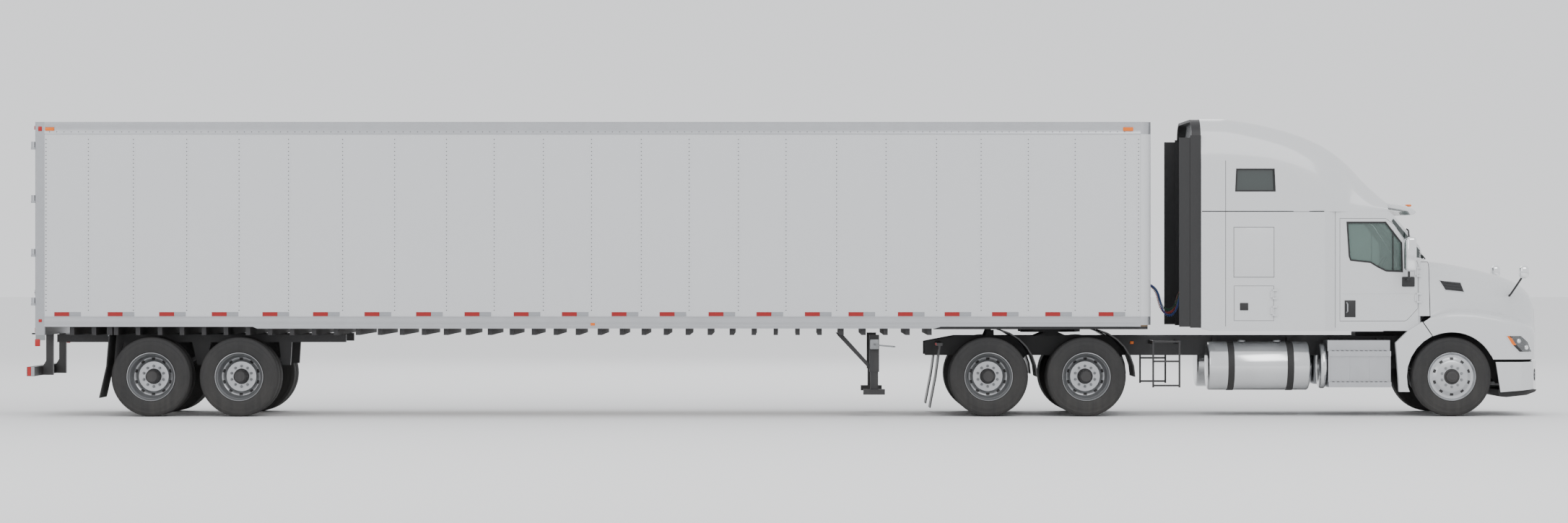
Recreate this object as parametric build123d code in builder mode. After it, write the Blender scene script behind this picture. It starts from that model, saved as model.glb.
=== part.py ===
from build123d import *
import os
from math import cos, pi, radians, sin, tan

# Semi truck: a conventional sleeper tractor and a closed box semi-trailer, hinged at the kingpin.
# Frame: +X forward, +Y to the truck's left, +Z up, millimetres.
# The origin is on the ground under the middle of the whole length.

os.makedirs("parts", exist_ok=True)

# Overall
rear_reach = 14262.0  # kingpin to the rear guard's face
front_reach = 6783.0  # kingpin to the bumper's face
kingpin = (rear_reach - front_reach) / 2  # x of the kingpin
clear = 5.0  # between pieces that move past each other
seat = 0.3  # between pieces that bear on each other across a joint
SIDES = ((1, "left"), (-1, "right"))  # sign of y, name

# Wheels: 11R24.5 tyres on ten-hand-hole discs
tyre_radius = 552.0
tyre_width = 280.0
bead_radius = 311.0
flange_radius = 334.0
rim_width = 230.0
twin_spacing = 320.0
disc_thickness = 14.0
hub_radius = 109.0
spindle_radius = 60.0
hand_hole_circle = 248.0
hand_holes = 10

# Axles, x measured from the kingpin
front_axle_x = kingpin + 5515.0
drive_axle_x = {"front": kingpin + 437.0, "rear": kingpin - 920.0}
trailer_axle_x = {"front": kingpin - 11316.0, "rear": kingpin - 12538.0}
front_track = 1050.0  # centre line to the middle of the tyre
drive_track = 1100.0  # centre line to the middle of the outer tyre
trailer_track = 1155.0
steer_pin_y = 850.0
steer_arm = 200.0
steer_pin_radius = 22.0

# Tractor frame
rail_half_width = 430.0
rail_depth = 270.0
rail_flange = 80.0
rail_web = 12.0
rail_top = 1105.0
rail_rear = kingpin - 1780.0
flap_top = 980.0
rail_front = kingpin + 6300.0

# Fifth wheel and trailer coupler
coupler_height = 1210.0
kingpin_radius = 25.4
kingpin_length = 84.0
fifth_wheel_thickness = 50.0

# Cab and sleeper
cab_wall = 45.0
cab_rear = kingpin + 2030.0
cab_front = kingpin + 5222.0
cab_floor = 1187.0
roof_seam = 2845.0
sleeper_half_width = 1220.0
cab_half_width = 1140.0  # at the rear edge of the door
cowl_half_width = 1085.0  # at the front edge of the door
door_rear = kingpin + 3963.0
door_front = kingpin + 5060.0
glass_thickness = 6.0

# Hood
hood_skin = 30.0
hood_bottom = 790.0
hood_front = kingpin + 6772.0
arch_radius = 620.0
arch_sides = 28
hood_pivot_x = kingpin + 6752.0
hood_pivot_z = 787.0

# Bumper
bumper_top = 755.0
bumper_bottom = 383.0
bumper_half_width = 1200.0
bumper_skin = 50.0

# Trailer
trailer_half_width = 1295.0
trailer_wall = 40.0
trailer_rear = kingpin - 14138.0
trailer_front = kingpin + 1334.0
trailer_top = 4084.0
trailer_roof = 30.0
floor_top = 1300.0
floor_thickness = 50.0
bottom_rail_low = 1220.0
bottom_rail_high = 1390.0
nose_low = 1270.0
top_rail_low = 3912.0
rail_step = 6.0
corner_radius = 150.0
rear_frame_depth = 128.0
post_width = 80.0
header_low = 3960.0
crossmember_low = 1130.0
crossmember_pitch = 305.0


def prism_y(points, y_low, y_high, mode=Mode.ADD):
    """Extrude a side outline, given as (x, z) points, across the truck."""
    with BuildSketch(Plane.XZ.offset(-y_high)) as section:
        with BuildLine():
            Polyline(*points, close=True)
        make_face()
    extrude(section.sketch, amount=y_high - y_low, mode=mode)


def prism_z(points, z_low, z_high, mode=Mode.ADD):
    """Extrude a plan outline, given as (x, y) points, upwards."""
    with BuildSketch(Plane.XY.offset(z_low)) as section:
        with BuildLine():
            Polyline(*points, close=True)
        make_face()
    extrude(section.sketch, amount=z_high - z_low, mode=mode)


def prism_x(points, x_low, x_high, mode=Mode.ADD):
    """Extrude a cross-section, given as (y, z) points, along the truck."""
    with BuildSketch(Plane.YZ.offset(x_low)) as section:
        with BuildLine():
            Polyline(*points, close=True)
        make_face()
    extrude(section.sketch, amount=x_high - x_low, mode=mode)


def block(x_low, x_high, y_low, y_high, z_low, z_high, mode=Mode.ADD):
    """Add a box between two corners."""
    middle = ((x_low + x_high) / 2, (y_low + y_high) / 2, (z_low + z_high) / 2)
    with Locations(middle):
        Box(x_high - x_low, y_high - y_low, z_high - z_low, mode=mode)


def rod(start, end, radius, mode=Mode.ADD, sides=0):
    """Add a bar between two points: round, or with that many sides."""
    run = Vector(*end) - Vector(*start)
    with BuildSketch(Plane(origin=start, z_dir=run)) as section:
        if sides:
            RegularPolygon(radius, sides)
        else:
            Circle(radius)
    extrude(section.sketch, amount=run.length, mode=mode)


def faceted(rings):
    """Return the solid of flat faces through matching corners of a list of rings, closed at both ends."""
    faces = [Face(Wire.make_polygon(ring, close=True)) for ring in (rings[0], rings[-1])]
    for low, high in zip(rings, rings[1:]):
        for i in range(len(low)):
            faces.append(Face(Wire.make_polygon((low[i - 1], low[i], high[i], high[i - 1]), close=True)))
    return Solid(Shell(faces))


def stack(plane, sections, sides, mode=Mode.ADD):
    """Add flat-sided sections; each is (height on the plane, radius to the flats)."""
    rings = []
    for height, radius in sections:
        corner = radius / cos(pi / sides)
        turns = [2 * pi * (i + 0.5) / sides for i in range(sides)]
        rings.append([plane.from_local_coords(Vector(corner * cos(t), corner * sin(t), height)) for t in turns])
    add(faceted(rings), mode=mode)


def both(side, low, high):
    """Return y limits low..high from the centre line, on one side, in rising order."""
    return (low, high) if side > 0 else (-high, -low)


def mirrored(points):
    """Return an outline's points with y or the first coordinate's sign changed."""
    return [(-first, second) for first, second in points]


def save(piece, name):
    """Label a finished piece and write it."""
    piece.label = name
    export_step(piece, f"parts/{name}.step")


# Wheels
# Eighteen wheels are kept light: each is turned as a regular prism, with flats tangent to the true
# circle. Sections are (s, r): s outwards along the axle from the tyre's middle, r to the flats.
tyre_sides = 24
rim_sides = 20
inner_rim_sides = 12
hub_sides = 10
spindle_sides = 20
pin_sides = 12
half_tyre = tyre_width / 2
half_rim = rim_width / 2
disc_offset = twin_spacing / 2
rim_wall = 13.0
hub_reach = {"twin": 50.0, "front": 170.0}  # end of the hub cap, from the tyre's middle
bore_depth = 30.0  # the cap's thickness beyond the spindle
tyre_section = (
    (-half_rim + 2, bead_radius + 29),
    (-half_tyre, 428.0),
    (-half_tyre + 42, tyre_radius),
    (half_tyre - 42, tyre_radius),
    (half_tyre, 428.0),
    (half_rim - 2, bead_radius + 29),
)
inner_tyre_section = (
    (-half_rim + 2, bead_radius + 29),
    (-half_tyre + 10, tyre_radius),
    (half_tyre - 10, tyre_radius),
    (half_rim - 2, bead_radius + 29),
)
dish_flat = 205.0  # radius of the disc's flat middle
dished_rim = ((-disc_offset, dish_flat), (-half_rim, bead_radius), (half_rim, bead_radius), (half_rim + 12, flange_radius))
dish_hollow = (
    (-disc_offset + disc_thickness, dish_flat),
    (-66.0, bead_radius - rim_wall),
    (half_rim + 13, bead_radius - rim_wall),
)
front_rim = ((-half_rim, bead_radius), (half_rim, bead_radius), (half_rim + 12, flange_radius))
front_back_hollow = ((-half_rim - 1, bead_radius - rim_wall), (60.0, bead_radius - rim_wall), (106.0, dish_flat))
front_face_hollow = ((80.0, bead_radius - rim_wall), (half_rim + 13, bead_radius - rim_wall))
front_disc_face = ((80.0, bead_radius - rim_wall), (120.0, dish_flat))
inner_rim = ((-half_rim, bead_radius), (half_rim, bead_radius), (disc_offset, dish_flat))
inner_hollow = ((-half_rim - 1, bead_radius - 20), (disc_offset - disc_thickness, dish_flat - 40))


def wheel_plane(x, y, side):
    """Return the plane across an axle at the tyre's middle, facing outwards."""
    return Plane(origin=(x, y, tyre_radius), x_dir=(1, 0, 0), z_dir=(0, side, 0))


def add_tyre(plane, section, bore_sides):
    """Add one tyre, bored to its rim's own polygon."""
    stack(plane, section, tyre_sides)
    bore = bead_radius + seat
    stack(plane, ((-half_tyre - 1, bore), (half_tyre + 1, bore)), bore_sides, mode=Mode.SUBTRACT)


def cut_hand_holes(plane, low, high):
    """Cut the ring of tapered hand holes through the disc."""
    with BuildSketch(plane.offset(low)) as holes:
        with PolarLocations(hand_hole_circle, hand_holes):
            Trapezoid(50, 40, 80, rotation=-90)
    extrude(holes.sketch, amount=high - low, mode=Mode.SUBTRACT)


def add_hub(plane, low, high):
    """Add the hub with its cap, bored for the spindle."""
    stack(plane, ((low, hub_radius), (high - 8, hub_radius - 8), (high, hub_radius - 24)), hub_sides)


def bore_hub(plane, low, high):
    """Bore the spindle's running seat."""
    bore = spindle_radius + seat
    stack(plane, ((low, bore), (high, bore)), spindle_sides, mode=Mode.SUBTRACT)


def make_wheel(name, x, track, side, twin):
    """Write the tyre node and the rim node of one wheel position."""
    outer = wheel_plane(x, side * track, side)
    inner = wheel_plane(x, side * (track - twin_spacing), side)
    with BuildPart() as tyres:
        add_tyre(outer, tyre_section, rim_sides)
    with BuildPart() as rims:
        if twin:
            stack(outer, dished_rim, rim_sides)
            stack(outer, dish_hollow, rim_sides, mode=Mode.SUBTRACT)
            cut_hand_holes(outer, -disc_offset - 1, 0)
            add_hub(outer, -disc_offset + 1, hub_reach["twin"])
            bore_hub(outer, -disc_offset - 1, hub_reach["twin"] - bore_depth)
        else:
            stack(outer, front_rim, rim_sides)
            stack(outer, front_back_hollow, rim_sides, mode=Mode.SUBTRACT)
            stack(outer, front_face_hollow, rim_sides, mode=Mode.SUBTRACT)
            stack(outer, front_disc_face, rim_sides)
            stack(outer, front_back_hollow[1:], rim_sides, mode=Mode.SUBTRACT)
            cut_hand_holes(outer, 50, 130)
            add_hub(outer, -30, hub_reach["front"])
            bore_hub(outer, -31, hub_reach["front"] - bore_depth)
    if twin:
        with BuildPart() as inner_tyre:
            add_tyre(inner, inner_tyre_section, inner_rim_sides)
        with BuildPart() as inner_disc:
            stack(inner, inner_rim, inner_rim_sides)
            stack(inner, inner_hollow, inner_rim_sides, mode=Mode.SUBTRACT)
            bore_hub(inner, disc_offset - disc_thickness - 1, disc_offset + 1)
        save(Compound(children=[tyres.part, inner_tyre.part]), f"{name}_tyre")
        save(Compound(children=[rims.part, inner_disc.part]), f"{name}_rim")
    else:
        save(tyres.part, f"{name}_tyre")
        save(rims.part, f"{name}_rim")


for side, side_name in SIDES:
    make_wheel(f"front_{side_name}", front_axle_x, front_track, side, False)
    for place, x in drive_axle_x.items():
        make_wheel(f"drive_{place}_{side_name}", x, drive_track, side, True)
    for place, x in trailer_axle_x.items():
        make_wheel(f"trailer_{place}_{side_name}", x, trailer_track, side, True)

# Tractor frame
# Two C-section rails open inwards, joined by crossmembers, with the ramp that guides
# a trailer on to the fifth wheel cut along the tail.
crossmember_x = [kingpin + d for d in (-1500, -240, 1200, 2600, 3900)]
ramp_high = kingpin - 900
ramp_start = (ramp_high, 1190.0)
ramp_end = (rail_rear, 1020.0)
rail_low = rail_top - rail_depth
inner_web = rail_half_width - rail_web
inner_flange = rail_half_width - rail_flange
rail_section = (
    (rail_half_width, rail_low),
    (rail_half_width, rail_top),
    (inner_flange, rail_top),
    (inner_flange, rail_top - rail_web),
    (inner_web, rail_top - rail_web),
    (inner_web, rail_low + rail_web),
    (inner_flange, rail_low + rail_web),
    (inner_flange, rail_low),
)
hanger_plate = 14.0
tank_inner = 523.0  # y of the tank's inner side
step_inner = 520.0  # y of the step box's inner side
hanger_y = rail_half_width + hanger_plate
bracket_front = kingpin + front_reach - bumper_skin  # against the bumper's back
with BuildPart() as tractor_frame:
    for side, _ in SIDES:
        section = rail_section if side > 0 else mirrored(rail_section)
        prism_x(section, rail_rear, rail_front)
        y_low, y_high = both(side, inner_web, rail_half_width)
        prism_y(
            ((ramp_high - 60, rail_top - 60), ramp_start, (ramp_high + 90, 1190.0), (ramp_high + 90, rail_top - 60)),
            y_low,
            y_high,
        )
        # Bumper bracket: hangs from the rail's front end down to the bumper's back.
        y_low, y_high = both(side, rail_half_width, hanger_y)
        prism_y(
            (
                (rail_front - 350, rail_low),
                (rail_front - 350, rail_top),
                (rail_front, rail_top),
                (hood_pivot_x - 112, hood_pivot_z - 3),
                (hood_pivot_x - 1, hood_pivot_z - 3),
                (hood_pivot_x - 1, hood_pivot_z - 19),
                (bracket_front - 18, bumper_top - 10),
                (bracket_front, bumper_top - 20),
                (bracket_front, 440),
                (rail_front - 60, 440),
            ),
            y_low,
            y_high,
        )
        # Hangers of the fuel tank and the steps.
        for x, reach in ((2250, tank_inner), (3300, tank_inner), (3900, step_inner), (4560, step_inner)):
            y_low, y_high = both(side, rail_half_width, reach)
            block(kingpin + x, kingpin + x + 60, y_low, y_high, 700, 1080)
    for x in crossmember_x:
        block(x - 40, x + 40, -inner_web, inner_web, rail_low + 30, rail_top - 50)
    block(rail_front - 120, rail_front, -inner_web, inner_web, rail_low + 30, rail_top - 50)
    prism_y(
        ((rail_rear - 10, ramp_end[1]), ramp_start, (ramp_start[0], 1400), (rail_rear - 10, 1400)),
        -500,
        500,
        mode=Mode.SUBTRACT,
    )
    # Arms carrying the mudflaps.
    for side, _ in SIDES:
        y_low, y_high = both(side, rail_half_width - 10, 1240)
        block(kingpin - 1640, kingpin - 1560, y_low, y_high, flap_top, flap_top + 40)
save(tractor_frame.part, "tractor_frame")

# Fifth wheel
# A plate with a flared throat that closes round the kingpin, on a saddle between the rails.
plate_low = coupler_height - fifth_wheel_thickness
throat_radius = kingpin_radius + seat
with BuildPart() as fifth_wheel:
    with BuildSketch(Plane.XY.offset(plate_low)) as plate:
        with BuildLine():
            Polyline(
                (kingpin + 330, -300),
                (kingpin + 430, 0),
                (kingpin + 330, 300),
                (kingpin + 120, 450),
                (kingpin - 260, 450),
                (kingpin - 430, 380),
                (kingpin - 430, -380),
                (kingpin - 260, -450),
                (kingpin + 120, -450),
                close=True,
            )
        make_face()
        with BuildLine():
            Polyline(
                (kingpin, throat_radius),
                (kingpin - 160, throat_radius + 6),
                (kingpin - 431, 230),
                (kingpin - 431, -230),
                (kingpin - 160, -throat_radius - 6),
                (kingpin, -throat_radius),
                close=True,
            )
        make_face(mode=Mode.SUBTRACT)
        with Locations((kingpin, 0)):
            Circle(throat_radius, mode=Mode.SUBTRACT)
    extrude(amount=fifth_wheel_thickness)
    for side, _ in SIDES:
        y_low, y_high = both(side, 300, rail_half_width)
        prism_y(
            (
                (kingpin - 220, rail_top),
                (kingpin + 220, rail_top),
                (kingpin + 90, plate_low),
                (kingpin - 90, plate_low),
            ),
            y_low,
            y_high,
        )
save(fifth_wheel.part, "fifth_wheel")

# Tractor axles with their springs
beam_depth = 110.0
leaf_width = 90.0
leaf_y = 385.0  # centre line to the middle of a front leaf pack
front_beam = (
    (steer_pin_y + 50, tyre_radius - 60),
    (steer_pin_y + 50, tyre_radius + 60),
    (steer_pin_y - 60, tyre_radius + 60),
    (620.0, 480.0),
    (300.0, 480.0),
)
front_beam_low = (
    (300.0, 380.0),
    (640.0, 380.0),
    (steer_pin_y - 60, tyre_radius - 60),
)
bag_radius = 80.0
bag_x = -330.0
with BuildPart() as tractor_axles:
    outline = list(front_beam) + mirrored(reversed(front_beam))
    outline += mirrored(reversed(front_beam_low)) + list(front_beam_low)
    prism_x(outline, front_axle_x - beam_depth / 2, front_axle_x + beam_depth / 2)
    for side, _ in SIDES:
        rod(
            (front_axle_x, side * steer_pin_y, tyre_radius - 130),
            (front_axle_x, side * steer_pin_y, tyre_radius + 130),
            steer_pin_radius,
            sides=pin_sides,
        )
        y_low, y_high = side * leaf_y - leaf_width / 2, side * leaf_y + leaf_width / 2
        prism_y(
            (
                (front_axle_x - 650, 780),
                (front_axle_x - 650, rail_low),
                (front_axle_x - 560, rail_low),
                (front_axle_x - 560, 740),
                (front_axle_x - 300, 600),
                (front_axle_x + 300, 600),
                (front_axle_x + 560, 740),
                (front_axle_x + 560, rail_low),
                (front_axle_x + 650, rail_low),
                (front_axle_x + 650, 780),
                (front_axle_x + 320, 540),
                (front_axle_x + 60, 470),
                (front_axle_x - 60, 470),
                (front_axle_x - 320, 540),
            ),
            y_low,
            y_high,
        )
    for x in drive_axle_x.values():
        rod((x, -drive_track - 15, tyre_radius), (x, drive_track + 15, tyre_radius), spindle_radius, sides=spindle_sides)
        housing = Plane(origin=(x, 0, tyre_radius), x_dir=(1, 0, 0), z_dir=(0, 1, 0))
        stack(housing, ((-260, 65), (-110, 205), (110, 205), (260, 65)), 16)
        for side, _ in SIDES:
            y_low, y_high = both(side, 350, 440)
            prism_y(
                (
                    (x + 560, rail_low),
                    (x + 430, rail_low),
                    (x + 380, 760),
                    (x + 80, 620),
                    (x - 80, 620),
                    (x - 460, 560),
                    (x - 460, 480),
                    (x - 80, 480),
                    (x + 420, 640),
                ),
                y_low,
                y_high,
            )
            bag_y = side * (rail_half_width - 60)
            rod((x + bag_x, bag_y, 530), (x + bag_x, bag_y, rail_low), bag_radius, sides=12)
save(tractor_axles.part, "tractor_axles")

# Steering knuckles and tie rod
# The knuckle's two lugs turn on the axle's steering pin, its arm points to the rear.
pin_bore = steer_pin_radius + seat
arm_z = tyre_radius - 95
arm_pin_radius = 14.0
tie_rod_radius = 22.0
for side, side_name in SIDES:
    with BuildPart() as knuckle:
        for z_low, z_high in ((tyre_radius - 115, tyre_radius - 65), (tyre_radius + 65, tyre_radius + 115)):
            with BuildSketch(Plane.XY.offset(z_low)) as lug:
                with Locations((front_axle_x, side * (steer_pin_y + 52.5))):
                    Rectangle(100, 175)
                with Locations((front_axle_x, side * steer_pin_y)):
                    RegularPolygon(pin_bore, pin_sides, major_radius=False, rotation=180 / pin_sides, mode=Mode.SUBTRACT)
            extrude(lug.sketch, amount=z_high - z_low)
        y_low, y_high = both(side, steer_pin_y + 85, steer_pin_y + 140)
        block(front_axle_x - 50, front_axle_x + 50, y_low, y_high, tyre_radius - 115, tyre_radius + 115)
        rod(
            (front_axle_x, side * (steer_pin_y + 140), tyre_radius),
            (front_axle_x, side * (front_track + 135), tyre_radius),
            spindle_radius,
            sides=spindle_sides,
        )
        y_low, y_high = both(side, steer_pin_y - 30, steer_pin_y + 30)
        block(front_axle_x - steer_arm - 30, front_axle_x - 49, y_low, y_high, tyre_radius - 115, tyre_radius - 75)
        rod(
            (front_axle_x - steer_arm, side * steer_pin_y, tyre_radius - 165),
            (front_axle_x - steer_arm, side * steer_pin_y, tyre_radius - 115),
            arm_pin_radius,
            sides=pin_sides,
        )
    save(knuckle.part, f"knuckle_{side_name}")

tie_rod_z = tyre_radius - 145
with BuildPart() as tie_rod:
    block(
        front_axle_x - steer_arm - 20,
        front_axle_x - steer_arm + 20,
        -steer_pin_y - 36,
        steer_pin_y + 36,
        tie_rod_z - 18,
        tie_rod_z + 18,
    )
    # Running fit on the left arm's pin; the right end closes the linkage and is held open.
    for side, bore in ((1, arm_pin_radius + seat), (-1, arm_pin_radius + 2)):
        eye = Plane(origin=(front_axle_x - steer_arm, side * steer_pin_y, tie_rod_z))
        stack(eye, ((-20, bore), (20, bore)), pin_sides, mode=Mode.SUBTRACT)
save(tie_rod.part, "tie_rod")

# Engine and radiator
with BuildPart() as engine:
    block(kingpin + 5250, kingpin + 5980, -300, 300, 640, 1560)
    block(kingpin + 4300, kingpin + 5260, -220, 220, 640, cab_floor - 30)
    block(kingpin + 6060, kingpin + 6160, -400, 400, rail_top, 1640)
    block(kingpin + 6060, kingpin + 6160, -340, 340, 860, rail_top)
    block(kingpin + 5970, kingpin + 6070, -200, 200, 1100, 1200)
    # Mounts bear on the webs of the frame rails.
    block(kingpin + 5300, kingpin + 5400, -inner_web, inner_web, 900, 1040)
    block(kingpin + 4400, kingpin + 4480, -inner_web, inner_web, 900, 1000)
save(engine.part, "engine")


# Cab and sleeper
# The shell is the side, plan and cross outlines extruded through each other, less the same inset.
cab_side = (
    (cab_rear, cab_floor + 43),
    (cab_rear + 140, cab_floor),
    (kingpin + 4913, cab_floor),
    (cab_front, 1385),
    (cab_front, 2190),
    (kingpin + 4728, 2780),
    (kingpin + 4650, roof_seam),
    (cab_rear, roof_seam),
)
cab_plan = (
    (cab_rear, sleeper_half_width),
    (kingpin + 3747, sleeper_half_width),
    (door_rear - 60, cab_half_width),
    (door_front, cowl_half_width),
    (cab_front - 130, cowl_half_width - 20),
    (cab_front, 600),
)


def plan_loop(points):
    """Close a half plan outline over the centre line."""
    return [(x, y) for x, y in points] + [(x, -y) for x, y in reversed(points)]


def inset(points, amount):
    """Return a face's outline moved inwards, as a sketch on the XY plane."""
    with BuildSketch() as sketch:
        with BuildLine():
            Polyline(*points, close=True)
        make_face()
        offset(amount=-amount, kind=Kind.INTERSECTION)
    return sketch.sketch


def cab_volume(wall):
    """Return the cab's body, moved inwards by a wall's thickness."""
    side_face = inset(cab_side, wall) if wall else inset(cab_side, 0.001)
    plan_face = inset(plan_loop(cab_plan), wall) if wall else inset(plan_loop(cab_plan), 0.001)
    with BuildPart() as volume:
        extrude(Plane.XZ.offset(-1500) * side_face, amount=3000)
        extrude(Plane.XY.offset(500) * plan_face, amount=3000, mode=Mode.INTERSECT)
    return volume.part


door_outline = (
    (door_rear, 1320),
    (door_rear, 2750),
    (kingpin + 4610, 2750),
    (kingpin + 4730, 2660),
    (kingpin + 4890, 2420),
    (kingpin + 5020, 2220),
    (door_front, 2110),
    (door_front, 1500),
    (kingpin + 4910, 1337),
    (kingpin + 4870, 1320),
)
door_window = (
    (kingpin + 4056, 2704),
    (kingpin + 4609, 2704),
    (kingpin + 4837, 2410),
    (kingpin + 4848, 2000),
    (kingpin + 4609, 2010),
    (kingpin + 4500, 2064),
    (kingpin + 4390, 2130),
    (kingpin + 4110, 2160),
    (kingpin + 4088, 2220),
)
locker_outline = (
    (kingpin + 2486, 1327),
    (kingpin + 2486, 1814),
    (kingpin + 3038, 1814),
    (kingpin + 3038, 1327),
)
hinge_radius = 12.0
hinge_offset = 18.0  # pin centre outside the skin
hinge_length = 90.0
door_hinge_x = door_front - 14
door_hinge_y = cowl_half_width + hinge_offset
door_hinge_z = (1600.0, 1960.0)
locker_hinge_x = kingpin + 3038 - 14
locker_hinge_y = sleeper_half_width + hinge_offset
locker_hinge_z = (1420.0, 1650.0)
windshield_low = (cab_front, 2190.0)
windshield_high = (kingpin + 4728, 2780.0)


def hinge_lugs(x, y, heights, side):
    """Add the two lugs above and below each hinge barrel, rooted on the skin ahead of the opening."""
    for z in heights:
        for z_low in (z - 24 - seat, z + hinge_length + seat):
            y_low, y_high = both(side, y - hinge_radius, y + hinge_radius)
            block(x - 8, x + 60, y_low, y_high, z_low, z_low + 24)
            y_low, y_high = both(side, y - hinge_offset - 22, y + hinge_radius)
            block(x + 20, x + 60, y_low, y_high, z_low, z_low + 24)


def hinge_barrels(x, y, heights, side):
    """Add the barrels, each with the leaf that carries it on the door's skin."""
    for z in heights:
        rod((x, side * y, z), (x, side * y, z + hinge_length), hinge_radius, sides=12)
        y_low, y_high = both(side, y - hinge_offset - 10, y)
        block(x - 34, x, y_low, y_high, z, z + hinge_length)


cab_solid = cab_volume(0)
cab_hollow = cab_volume(cab_wall)
rear_window = ((cab_rear - 100, 2200), (cab_rear + 100, 2500))
with BuildPart() as cab_body:
    add(cab_solid)
    add(cab_hollow, mode=Mode.SUBTRACT)
    # Open top, where the roof cap sits.
    prism_z(
        [
            (cab_rear + cab_wall, sleeper_half_width - cab_wall),
            (kingpin + 3747 - 10, sleeper_half_width - cab_wall),
            (door_rear - 60, cab_half_width - cab_wall),
            (kingpin + 4640, cab_half_width - cab_wall - 30),
            (kingpin + 4640, -cab_half_width + cab_wall + 30),
            (door_rear - 60, -cab_half_width + cab_wall),
            (kingpin + 3747 - 10, -sleeper_half_width + cab_wall),
            (cab_rear + cab_wall, -sleeper_half_width + cab_wall),
        ],
        roof_seam - 2 * cab_wall,
        roof_seam + 10,
        mode=Mode.SUBTRACT,
    )
    prism_y(door_outline, -1500, 1500, mode=Mode.SUBTRACT)
    prism_y(locker_outline, -1500, 1500, mode=Mode.SUBTRACT)
    # Two windshield panes with a centre post.
    for side, _ in SIDES:
        y_low, y_high = both(side, 20, 960)
        prism_y(
            (
                (kingpin + 4660, 2720),
                (kingpin + 4775, 2815),
                (kingpin + 5290, 2190),
                (kingpin + 5130, 2190),
            ),
            y_low,
            y_high,
            mode=Mode.SUBTRACT,
        )
        hinge_lugs(door_hinge_x, door_hinge_y, door_hinge_z, side)
        hinge_lugs(locker_hinge_x, locker_hinge_y, locker_hinge_z, side)
save(cab_body.part, "cab_body")


def door_leaf(outline, window):
    """Return the cab walls inside an outline, less its running gap and its window."""
    with BuildPart() as leaf:
        add(cab_solid)
        add(cab_hollow, mode=Mode.SUBTRACT)
        panel = inset(outline, clear)
        extrude(Plane.XZ.offset(-1500) * panel, amount=3000, mode=Mode.INTERSECT)
        if window:
            prism_y(window, -1500, 1500, mode=Mode.SUBTRACT)
    return leaf.part


door_leaves = door_leaf(door_outline, door_window)
locker_leaves = door_leaf(locker_outline, None)
for side, side_name in SIDES:
    with BuildPart() as cab_door:
        add(door_leaves)
        split(bisect_by=Plane.XZ, keep=Keep.BOTTOM if side > 0 else Keep.TOP)
        hinge_barrels(door_hinge_x, door_hinge_y, door_hinge_z, side)
    save(cab_door.part, f"cab_door_{side_name}")
    with BuildPart() as locker_door:
        add(locker_leaves)
        split(bisect_by=Plane.XZ, keep=Keep.BOTTOM if side > 0 else Keep.TOP)
        hinge_barrels(locker_hinge_x, locker_hinge_y, locker_hinge_z, side)
    save(locker_door.part, f"locker_door_{side_name}")
    # Door glass in its frame, seated in the window's edge.
    with BuildPart() as door_glass:
        glass_y = side * (cab_half_width - cab_wall / 2)
        glass_end = side * (cowl_half_width - cab_wall / 2)
        prism_z(
            (
                (door_rear, glass_y - glass_thickness / 2),
                (door_front, glass_end - glass_thickness / 2),
                (door_front, glass_end + glass_thickness / 2),
                (door_rear, glass_y + glass_thickness / 2),
            ),
            1900,
            2800,
        )
        prism_y(door_window, -1500, 1500, mode=Mode.INTERSECT)
    save(door_glass.part, f"door_glass_{side_name}")
    # Door mirror: a head on an arm that stands on the door.
    with BuildPart() as door_mirror:
        y_low, y_high = both(side, 1230, 1480)
        block(kingpin + 4840, kingpin + 4990, y_low, y_high, 2010, 2493)
        y_low, y_high = both(side, 1095, 1260)
        block(kingpin + 4870, kingpin + 4940, y_low, y_high, 1860, 1920)
        block(kingpin + 4870, kingpin + 4940, *both(side, 1232, 1290), 1860, 2030)
    save(door_mirror.part, f"door_mirror_{side_name}")

# Roof cap
# Ruled sections from the sleeper's back wall down to the brow over the windshield.
# Columns: x, half width at the seam, crease height, top half width, top height.
# Matching edges of all sections run parallel, so every panel between them is flat.
roof_sections = (
    (cab_rear, 1220, 3596, 950, 4137),
    (kingpin + 2410, 1220, 3596, 940, 4131),
    (kingpin + 3100, 1220, 3510, 900, 4006),
    (kingpin + 3676, 1215, 3275, 850, 3806),
    (kingpin + 4060, 1135, 2960, 780, 3557),
    (kingpin + 4380, 1115, 2900, 750, 3232),
    (kingpin + 4640, 1095, 2870, 1000, 2960),
)
roof_wall = 60.0
roof_side_slope = 4.5  # rise over run of the panel above the crease
roof_edge_slope = 0.75  # of the panel beside the top


def shoulder(low, high, low_slope, high_slope):
    """Return where a line up from low, at one slope, meets a line down from high, at another."""
    run = ((high[1] - low[1]) - high_slope * (low[0] - high[0])) / (low_slope - high_slope)
    return (low[0] - run, low[1] + low_slope * run)


def roof_volume(wall):
    """Return the roof cap's body, moved inwards by a wall's thickness and open below."""
    rings = []
    for x, w_seam, z_crease, w_top, z_top in roof_sections:
        station = x + (wall if x == cab_rear else -wall if x == roof_sections[-1][0] else 0)
        crease = (w_seam - wall, z_crease - wall)
        top = (w_top - wall, z_top - wall)
        half = [(crease[0], roof_seam - wall), crease, shoulder(crease, top, roof_side_slope, roof_edge_slope), top]
        rings.append([Vector(station, y, z) for y, z in (*half, *mirrored(reversed(half)))])
    return faceted(rings)


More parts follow.
